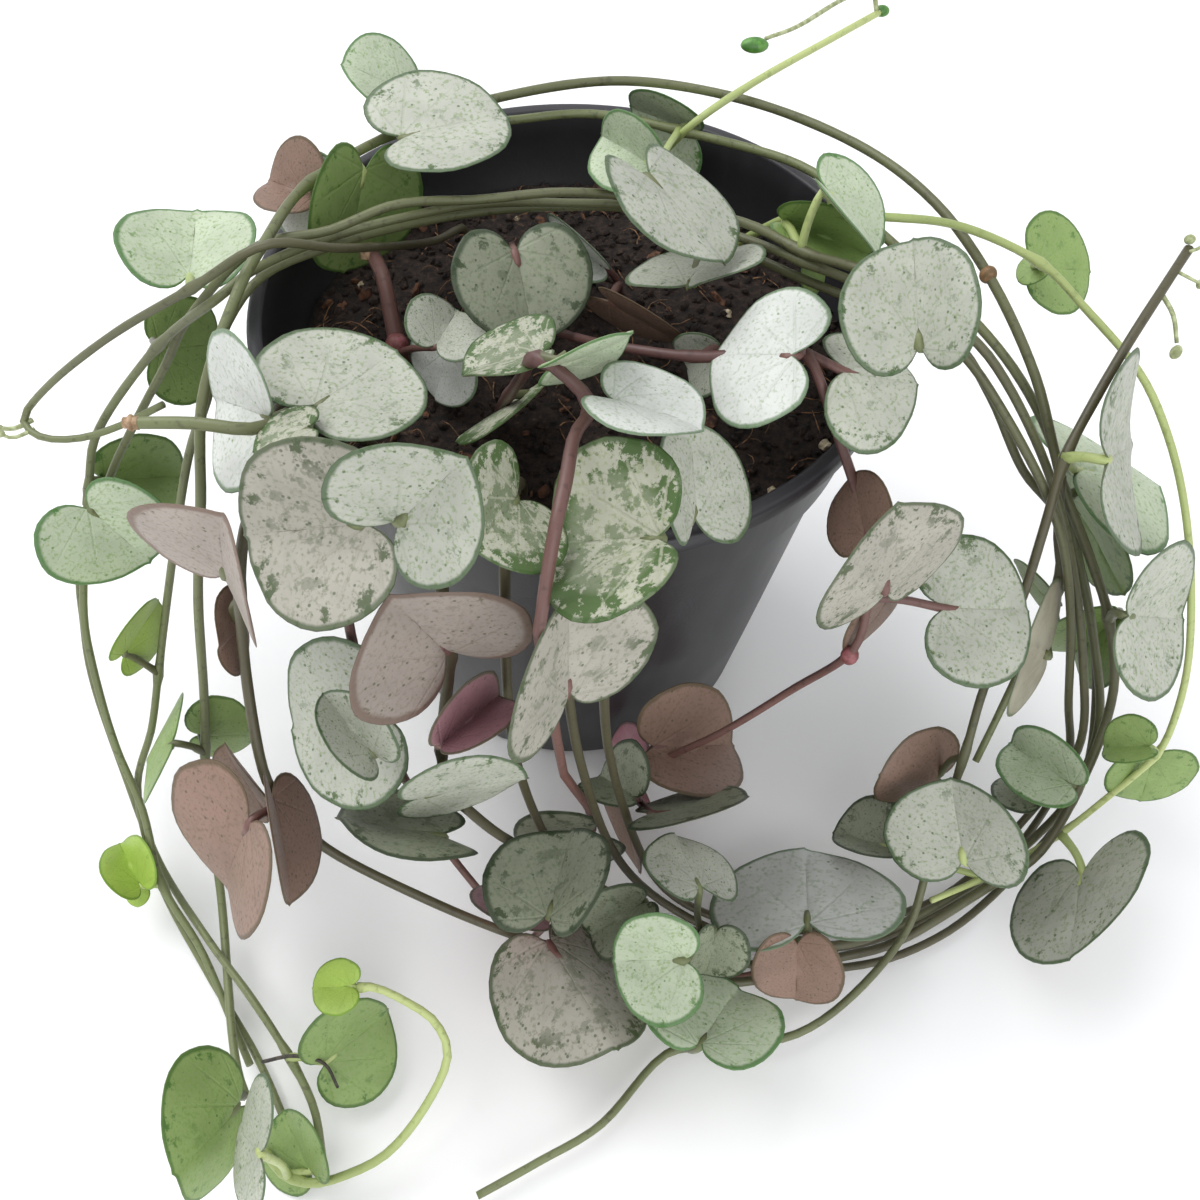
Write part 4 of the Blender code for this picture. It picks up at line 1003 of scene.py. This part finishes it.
@dataclass
class Leaf:
    """One heart-shaped leaf: its place, its stance and its curling."""

    kind: LeafKind
    notch: Vector
    heading: float
    pitch: float
    roll: float
    width: float
    length: float
    fold: float
    seed: int

    HALF = (
        (0.0, 0.0), (0.05, -0.085), (0.12, -0.145), (0.22, -0.17), (0.33, -0.15), (0.43, -0.06), (0.492, 0.07),
        (0.50, 0.20), (0.455, 0.34), (0.37, 0.45), (0.25, 0.53), (0.12, 0.578), (0.03, 0.592), (0.0, 0.605),
    )
    MIDDLE = 0.26
    THICKNESS = 1.0

    def axes(self) -> tuple[Vector, Vector, Vector]:
        """Directions across the leaf, along its midrib and out of its upper face."""
        heading, pitch, roll = (math.radians(angle) for angle in (self.heading, self.pitch, self.roll))
        reach = math.cos(pitch)
        along = Vector((math.cos(heading) * reach, math.sin(heading) * reach, math.sin(pitch)))
        level = Vector((math.sin(heading), -math.cos(heading), 0.0))
        across = math.cos(roll) * level - math.sin(roll) * level.cross(along)
        return across, along, across.cross(along)

    def outline(self, turn: float) -> tuple[float, float]:
        """A point of the edge, at a share of the way round from the notch."""
        half = [Vector((x, y, 0.0)) for x, y in self.HALF]
        mirrored = turn > 0.5
        amount = (1 - turn if mirrored else turn) * 2 * (len(half) - 1)
        point = spline_point(half, amount)
        return (-point.x if mirrored else point.x), point.y

    def surface(self, curl: Curl, x: float, y: float, rim: float, turn: float) -> Vector:
        """The blade's middle surface, in leaf widths, curled and folded."""
        fold = math.radians(self.fold)
        soft = math.sqrt(x * x + 0.05**2) - 0.05
        out = soft * math.sin(fold)
        flat_x = x * (math.cos(fold) + (1 - math.cos(fold)) * 0.1)
        y_mid = y - self.MIDDLE
        out += curl.cup * (x * x + y_mid * y_mid) * 0.9 - curl.tip * max(0.0, y_mid) ** 2 * 3
        out += curl.wave * rim**3 * math.sin(curl.waves * turn * math.tau + curl.phase)
        out -= 0.012 * math.exp(-((x / 0.02) ** 2)) * (1 - rim)
        return Vector((flat_x, y, out))

    def on_midrib(self, share: float, below: float) -> Vector:
        """A point of the midrib at a share of the way from the notch to the middle, sunk below the blade."""
        across, along, out = self.axes()
        y = self.MIDDLE * self.length / 0.60 * share
        local = self.surface(Curl.grown(self.seed), 0.0, y, 1 - share, 0.0)
        moved = across * local.x + along * local.y + out * local.z
        return self.notch + moved * self.width * MM - out * below

    def build(self, template: Mesh, material: Material) -> Object:
        """Shapes a copy of the flat template into this leaf.

        Args:
            template: A closed flattened ball with its seam at the notch.
            material: The leaf's finish.

        Returns:
            The leaf, at the origin.
        """
        mesh = template.copy()
        across, along, out = self.axes()
        size = self.width * MM
        places, sides = [], []
        stretch = self.length / 0.60
        curl = Curl.grown(self.seed)
        for vertex in mesh.vertices:
            rim = min(1.0, math.hypot(vertex.co.x, vertex.co.y))
            turn = (math.atan2(vertex.co.y, vertex.co.x) + math.pi / 2) / math.tau % 1.0
            edge_x, edge_y = self.outline(turn)
            edge_x *= 1 + curl.lobe * (1 if edge_x > 0 else -1)
            jag = 0.012 * noise.noise(Vector((edge_x * 6, edge_y * 6, self.seed * 1.7)))
            edge_x, edge_y = edge_x * (1 + jag * 2), edge_y * (1 + jag)
            x = edge_x * rim
            y = (self.MIDDLE + (edge_y - self.MIDDLE) * rim) * stretch
            place = self.surface(curl, x, y, rim, turn)
            tip = 0.0001
            nudge = self.surface(curl, x + tip, y, rim, turn) - place
            slope = self.surface(curl, x, y + tip, rim, turn) - place
            normal = nudge.cross(slope).normalized()
            half = 0.5 * self.THICKNESS * MM / size * (0.55 + 0.45 * (1 - rim**2))
            rise = math.sqrt(max(0.0, 1 - rim**6)) * (1 if vertex.co.z > 0 else -1)
            local = (place + normal * half * rise) * size
            vertex.co = self.notch + across * local.x + along * local.y + out * local.z
            places.append((x, y, rim))
            sides.append(0.5 - 0.5 * math.copysign(min(1.0, abs(rise) * 3), rise))
        attribute = mesh.attributes.new("leaf_place", "FLOAT_VECTOR", "POINT")
        attribute.data.foreach_set("vector", [value for place in places for value in place])
        mesh.attributes.new("leaf_side", "FLOAT", "POINT").data.foreach_set("value", sides)
        seeds = [random.Random(self.seed + 7).random()] * len(mesh.vertices)
        mesh.attributes.new("leaf_seed", "FLOAT", "POINT").data.foreach_set("value", seeds)
        made = bpy.data.objects.new("leaf", mesh)
        bpy.context.scene.collection.objects.link(made)
        coated(made, material)
        return made


@dataclass
class Plant:
    """The strings and the leaves."""

    leaf_materials: dict[LeafKind, Material]
    stem_materials: dict[StemKind, Material]
    small_materials: dict[str, Material]
    segments: int = 48
    rings: int = 16

    def template(self) -> Mesh:
        """A closed round ball whose rows become the rings of a leaf."""
        deselect()
        bpy.ops.mesh.primitive_uv_sphere_add(segments=self.segments, ring_count=self.rings, radius=1.0)
        ball = active("leaf_template")
        bpy.ops.object.mode_set(mode="EDIT")
        bpy.ops.mesh.select_all(action="SELECT")
        bpy.ops.transform.rotate(value=math.pi / 2, orient_axis="Z", center_override=(0, 0, 0))
        bpy.ops.object.mode_set(mode="OBJECT")
        mesh = without_uv(ball.data)
        bpy.data.objects.remove(ball)
        return mesh

    def joint(self, string: str, along: Any) -> Vector:
        """Where a group's stalks leave their string."""
        if string == SOIL_SURFACE:
            point = Vector(along) * MM
            point.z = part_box("soil")[1][2] - 1.5 * MM
            return point
        route = string_route(string)
        return spline_point(route, along + (1 if STRINGS[string][2] else 0))

    def stalk(self, start: Vector, leaf: Leaf, material: Material) -> Object:
        """A leaf's stalk, which leaves the joint and bends into the midrib."""
        _, along, out = leaf.axes()
        inside = leaf.on_midrib(0.32, 0.42 * MM)
        before = leaf.on_midrib(0.0, 0.30 * MM) - along * 0.02 * leaf.width * MM
        reach = (leaf.notch - start).length
        lift = Vector((0, 0, 1)) * min(reach * 0.10, 1.2 * MM)
        middle = (start + before) / 2 + lift - out * min(reach * 0.08, 1.0 * MM)
        points = [start, middle, before, inside] if reach > 3 * MM else [start, before, inside]
        thick = 0.42 + 0.012 * leaf.width
        tube = Tube("stalk", points, thick * MM, [], 0.9, 1.2 * MM, 2, 0.0, 0.35)
        return tube.build(material, (0.3, 0.7))

    def group(self, template: Mesh, row: tuple, number: int) -> list[Object]:
        """A group's leaves and stalks."""
        _, string, along, stem, _, leaves = row
        start = self.joint(string, along)
        pieces = []
        for index, (kind, notch, heading, pitch, roll, width, length, fold) in enumerate(leaves):
            seed = number * 10 + index
            leaf = Leaf(kind, Vector(notch) * MM, heading, pitch, roll, width, length, fold, seed)
            pieces.append(leaf.build(template, self.leaf_materials[kind]))
            pieces.append(self.stalk(start, leaf, self.stem_materials[stem]))
        return pieces

    def small_parts(self, string: str) -> list[Object]:
        """A string's twigs, buds and swollen joints."""
        pieces = []
        for owner, stuff, radius, points in TWIGS:
            if owner == string:
                route = [Vector(point) * MM for point in points]
                twig = Tube("twig", route, radius * MM, [], 0.8, 1.0 * MM, 2, 0.0)
                pieces.append(twig.build(self.small_materials[stuff]))
        for owner, stuff, place, sizes in BUDS:
            if owner == string:
                deselect()
                bpy.ops.mesh.primitive_uv_sphere_add(segments=16, ring_count=10, radius=MM)
                bud = active("bud")
                bud.data.transform(Matrix.Translation(Vector(place) * MM) @ Matrix.Diagonal((*sizes, 1.0)))
                without_uv(bud.data)
                coated(bud, self.small_materials[stuff])
                pieces.append(bud)
        return pieces

    def build(self) -> list[Object]:
        """Grows every string and leaf, each standing for its CAD node."""
        template = self.template()
        made = []
        for name, (stem, radius, rooted, _) in STRINGS.items():
            joints = [self.joint(row[1], row[2]) for row in LEAF_GROUPS if row[1] == name]
            ages = {OLIVE: (0.0, 0.8), RED: (0.0, 0.9), YOUNG: (0.1, 1.0)}[stem]
            tube = Tube(name + "_stem", string_route(name), radius * MM, joints)
            pieces = [tube.build(self.stem_materials[stem], ages)] + self.small_parts(name)
            if name in LEAFY_STRINGS:
                for number, row in enumerate(LEAF_GROUPS):
                    if row[1] == name:
                        pieces += self.group(template, row, number)
            piece = merged(name + "_grown", pieces)
            made.append(in_place_of(name, piece))
        for number, row in enumerate(LEAF_GROUPS):
            if row[1] not in LEAFY_STRINGS:
                piece = merged(row[0] + "_grown", self.group(template, row, number))
                made.append(in_place_of(row[0], piece))
        return made


@dataclass
class NurseryPot:
    """The thin black pot, turned from one ring that is extruded and resized up its wall and back down."""

    base: float = 37.3 * MM
    under: float = 47.2 * MM
    rim: float = 52.5 * MM
    height: float = 92.0 * MM
    collar: float = 18.0 * MM
    wall: float = 1.2 * MM
    lip: float = 2.5 * MM
    sides: int = 144

    def profile(self) -> list[tuple[float, float]]:
        """Radius and height of each ring, from under the base up the outside and down the inside."""
        step = self.height - self.collar
        top = self.height
        outside = [
            (self.base - 6 * MM, 0.0),
            (self.base - 1.4 * MM, 0.0),
            (self.base - 0.5 * MM, 0.25 * MM),
            (self.base, 0.9 * MM),
            (self.base + (self.under - self.base) * 0.33, step * 0.33),
            (self.base + (self.under - self.base) * 0.66, step * 0.66),
            (self.under - 0.1 * MM, step - 0.8 * MM),
            (self.under + 0.1 * MM, step - 0.2 * MM),
            (self.under + 1.3 * MM, step + 0.3 * MM),
            (self.under + 1.6 * MM, step + 0.8 * MM),
            (self.rim - 1.6 * MM, top - 4.4 * MM),
            (self.rim - 1.2 * MM, top - 3.9 * MM),
            (self.rim - 0.3 * MM, top - 3.5 * MM),
            (self.rim, top - 3.0 * MM),
            (self.rim, top - 0.7 * MM),
            (self.rim - 0.25 * MM, top - 0.2 * MM),
            (self.rim - 0.7 * MM, top),
        ]
        inside = [
            (self.rim - self.lip + 0.5 * MM, top),
            (self.rim - self.lip + 0.1 * MM, top - 0.2 * MM),
            (self.rim - self.lip, top - 0.6 * MM),
            (self.rim - self.lip - 0.5 * MM, top - 4.5 * MM),
            (self.under + 1.2 * MM - self.wall, step + 0.6 * MM),
            (self.under - 0.3 * MM - self.wall, step - 0.6 * MM),
            (self.base - self.wall, 1.6 * MM),
        ]
        return outside + inside

    def build(self, material: Material) -> Object:
        """Makes the pot.

        Args:
            material: The moulded plastic.

        Returns:
            The pot, in place of its CAD node.
        """
        rings = self.profile()
        deselect()
        bpy.ops.mesh.primitive_circle_add(vertices=self.sides, radius=rings[0][0], fill_type="NGON",
                                          location=(0, 0, rings[0][1]))
        pot = active("nursery_pot")
        settle(pot)
        bpy.ops.object.mode_set(mode="EDIT")
        bpy.ops.mesh.select_mode(type="EDGE")
        bpy.ops.mesh.select_all(action="SELECT")
        bpy.ops.mesh.region_to_loop()
        for (radius, height), (next_radius, next_height) in zip(rings, rings[1:]):
            bpy.ops.mesh.extrude_edges_move(TRANSFORM_OT_translate={"value": (0, 0, next_height - height)})
            share = next_radius / radius
            bpy.ops.transform.resize(value=(share, share, 1.0), center_override=(0, 0, next_height))
        bpy.ops.mesh.edge_face_add()
        bpy.ops.mesh.select_all(action="SELECT")
        bpy.ops.mesh.normals_make_consistent(inside=False)
        bpy.ops.object.mode_set(mode="OBJECT")
        self._drain(pot)
        pot.data.materials.clear()
        pot.data.materials.append(material)
        chosen(pot)
        bpy.ops.object.shade_smooth_by_angle(angle=math.radians(50))
        return in_place_of("pot", pot)

    @staticmethod
    def _drain(pot: Object) -> None:
        """Cuts the drain holes through the pot's floor."""
        count, circle, radius = 6, 24 * MM, 4 * MM
        for index in range(count):
            angle = math.tau * index / count
            deselect()
            centre = (circle * math.cos(angle), circle * math.sin(angle), 0)
            bpy.ops.mesh.primitive_cylinder_add(vertices=32, radius=radius, depth=8 * MM, location=centre)
            cutter = active("drain_cutter")
            cut = pot.modifiers.new("Drain", "BOOLEAN")
            cut.operation = "DIFFERENCE"
            cut.object = cutter
            chosen(pot)
            bpy.ops.object.modifier_apply(modifier=cut.name)
            bpy.data.objects.remove(cutter)


@dataclass
class Soil:
    """Peat that fills the pot: a crumbled crust, loose crumbs, coir fibres and a few pale grains."""

    radius: float = 48.6 * MM
    seed: int = 5

    def surface(self, x: float, y: float) -> float:
        """The crust's height at a place."""
        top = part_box("soil")[1][2]
        far = math.hypot(x, y) / self.radius
        rough = noise.fractal(Vector((x * 90, y * 90, 3.0)), 0.8, 2.1, 5) * 1.0 * MM
        return top - 1.3 * MM - 2.6 * MM * far**4 + rough

    def crust(self, material: Material) -> Object:
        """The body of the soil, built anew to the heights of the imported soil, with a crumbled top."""
        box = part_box("soil")
        deselect()
        bpy.ops.mesh.primitive_circle_add(vertices=96, radius=self.radius, fill_type="NGON")
        crust = active("peat_body")
        bpy.ops.object.mode_set(mode="EDIT")
        bpy.ops.mesh.select_all(action="SELECT")
        for _ in range(30):
            bpy.ops.mesh.inset(thickness=self.radius / 31.5)
        bpy.ops.mesh.poke()
        bpy.ops.object.mode_set(mode="OBJECT")
        for vertex in crust.data.vertices:
            vertex.co.z = self.surface(vertex.co.x, vertex.co.y)
        bpy.ops.object.mode_set(mode="EDIT")
        bpy.ops.mesh.select_all(action="SELECT")
        bpy.ops.mesh.region_to_loop()
        low = box[0][2] + 0.5 * MM
        steps = ((46.3 * MM, 74 * MM), (36.2 * MM, low))
        radius = self.radius
        for next_radius, height in steps:
            bpy.ops.mesh.extrude_edges_move(TRANSFORM_OT_translate={"value": (0, 0, -2 * MM)})
            bpy.ops.transform.resize(value=(next_radius / radius, next_radius / radius, 0.0),
                                     center_override=(0, 0, height))
            radius = next_radius
        bpy.ops.mesh.edge_face_add()
        bpy.ops.mesh.select_all(action="SELECT")
        bpy.ops.mesh.normals_make_consistent(inside=False)
        bpy.ops.object.mode_set(mode="OBJECT")
        coated(crust, material)
        return crust

    def scatter(self, name: str, count: int, sizes: tuple[float, float], material: Material,
                flat: float, subdivisions: int = 1) -> Object:
        """Crumbs or grains strewn on the crust, modelled once and copied into one mesh."""
        rng = random.Random(self.seed + count)
        deselect()
        bpy.ops.mesh.primitive_ico_sphere_add(subdivisions=subdivisions, radius=1.0)
        crumb = active(name + "_one")
        points = [vertex.co.copy() for vertex in crumb.data.vertices]
        faces = [tuple(face.vertices) for face in crumb.data.polygons]
        bpy.data.objects.remove(crumb)
        vertices, polygons = [], []
        for _ in range(count):
            angle, far = rng.uniform(0, math.tau), self.radius * 0.97 * math.sqrt(rng.random())
            x, y = far * math.cos(angle), far * math.sin(angle)
            size = rng.uniform(*sizes)
            centre = Vector((x, y, self.surface(x, y) + size * 0.2))
            spin = rng.uniform(0, math.tau)
            axis = Vector((rng.random(), rng.random(), rng.random() + 0.01))
            turn = Matrix.Rotation(spin, 3, axis)
            start = len(vertices)
            for point in points:
                lump = 1 + 0.55 * noise.noise(point * 1.4 + Vector((start * 0.37, 0, 0)))
                moved = turn @ Vector((point.x, point.y * rng.uniform(0.8, 1.0), point.z * flat))
                vertices.append(centre + moved * size * lump)
            polygons += [tuple(index + start for index in face) for face in faces]
        mesh = bpy.data.meshes.new(name)
        mesh.from_pydata(vertices, [], polygons)
        mesh.materials.append(material)
        made = bpy.data.objects.new(name, mesh)
        bpy.context.scene.collection.objects.link(made)
        return made

    def fibres(self, material: Material, count: int = 170) -> Object:
        """Coir fibres that lie on and lift out of the crust."""
        rng = random.Random(self.seed)
        curve = bpy.data.curves.new("coir_fibres", "CURVE")
        curve.dimensions = "3D"
        curve.bevel_depth = 0.14 * MM
        curve.bevel_resolution = 0
        curve.use_fill_caps = True
        for _ in range(count):
            angle, far = rng.uniform(0, math.tau), self.radius * 0.95 * math.sqrt(rng.random())
            x, y = far * math.cos(angle), far * math.sin(angle)
            heading, bend = rng.uniform(0, math.tau), rng.uniform(-0.5, 0.5)
            length, lift = rng.uniform(3, 11) * MM, rng.uniform(0.0, 1.6) * MM
            steps = 6
            spline = curve.splines.new("POLY")
            spline.points.add(steps - 1)
            for index, target in enumerate(spline.points):
                share = index / (steps - 1)
                z = self.surface(x, y) + 0.25 * MM + lift * math.sin(share * math.pi)
                target.co = (x, y, z, 1.0)
                target.radius = 1 - 0.5 * share
                heading += bend
                x += math.cos(heading) * length / steps
                y += math.sin(heading) * length / steps
                away = math.hypot(x, y)
                if away > self.radius * 0.97:
                    x, y = x * self.radius * 0.97 / away, y * self.radius * 0.97 / away
        made = bpy.data.objects.new("coir_fibres", curve)
        bpy.context.scene.collection.objects.link(made)
        chosen(made)
        bpy.ops.object.convert(target="MESH")
        made = active("coir_fibres")
        made.data.materials.clear()
        made.data.materials.append(material)
        return made

    def build(self) -> Object:
        """Makes the soil and what lies in it."""
        peat = PeatFinish().build()
        coir = PlainFinish("coir_fibre_dry", "#9A7350", "#54402E", 900.0).build()
        bark = PlainFinish("bark_chip_damp", "#6E4A34", "#2E1F18", 600.0).build()
        grain = PlainFinish("perlite_expanded", "#CDBFA6", "#A39478", 1500.0).build()
        body = self.crust(peat)
        crumbs = self.scatter("peat_crumbs", 1500, (0.35 * MM, 1.2 * MM), peat, 0.7)
        chips = self.scatter("bark_chips", 90, (0.7 * MM, 1.9 * MM), bark, 0.35)
        pale = self.scatter("perlite_grains", 18, (0.5 * MM, 1.2 * MM), grain, 0.9, 2)
        fibres = self.fibres(coir)
        soil = merged("peat_soil", [body, crumbs, chips, pale, fibres])
        return in_place_of("soil", soil)


def build_stage() -> None:
    """The plain pale floor, the soft lights and the camera."""
    deselect()
    bpy.ops.mesh.primitive_plane_add(size=6.0, location=(0, 0, -0.0002))
    floor = active("floor")
    settle(floor)
    material, _, shader = new_material("paper_sheet_matt_white")
    shader.inputs["Base Color"].default_value = linear("#FAFAFA")
    shader.inputs["Roughness"].default_value = 0.9
    floor.data.materials.append(material)

    world = bpy.data.worlds.new("soft_room")
    bpy.context.scene.world = world
    world.use_nodes = True
    back = world.node_tree.nodes["Background"]
    back.inputs["Color"].default_value = linear("#FAFBFF")
    back.inputs["Strength"].default_value = 0.82
    bpy.context.scene.view_settings.view_transform = "Standard"
    for name, place, size, power in (
        ("window_light", (-0.50, 0.30, 0.95), 0.8, 7.5),
        ("fill_light", (0.25, -0.95, 0.60), 1.0, 5.0),
    ):
        lamp = bpy.data.lights.new(name, "AREA")
        lamp.shape = "SQUARE"
        lamp.size = size
        lamp.energy = power
        made = bpy.data.objects.new(name, lamp)
        bpy.context.scene.collection.objects.link(made)
        made.location = place
        made.rotation_euler = (Vector((0, 0, 0.05)) - Vector(place)).to_track_quat("-Z", "Y").to_euler()

    camera_data = bpy.data.cameras.new("camera")
    camera_data.sensor_width = 36.0
    camera_data.lens = 34.5
    camera_data.clip_start = 0.01
    camera = bpy.data.objects.new("camera", camera_data)
    bpy.context.scene.collection.objects.link(camera)
    camera.location = Vector((0.0, -146.0, 219.0)) * MM
    yaw, pitch, tilt = (math.radians(angle) for angle in (2.3, 56.0, 2.0))
    aim = Matrix.Rotation(-yaw, 4, "Z") @ Matrix.Rotation(math.pi / 2 - pitch, 4, "X")
    camera.rotation_euler = (aim @ Matrix.Rotation(tilt, 4, "Z")).to_euler()
    bpy.context.scene.camera = camera


def main() -> None:
    """Builds the whole visual model."""
    logging.basicConfig(level=logging.INFO)
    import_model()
    build_stage()
    pot = NurseryPot().build(PotFinish().build())
    LOG.info("pot %s", pot.name)
    soil = Soil().build()
    LOG.info("soil %s", soil.name)
    for piece in Plant(leaf_finishes(), stem_finishes(), small_finishes()).build():
        LOG.info("plant %s", piece.name)


if __name__ == "__main__":
    main()
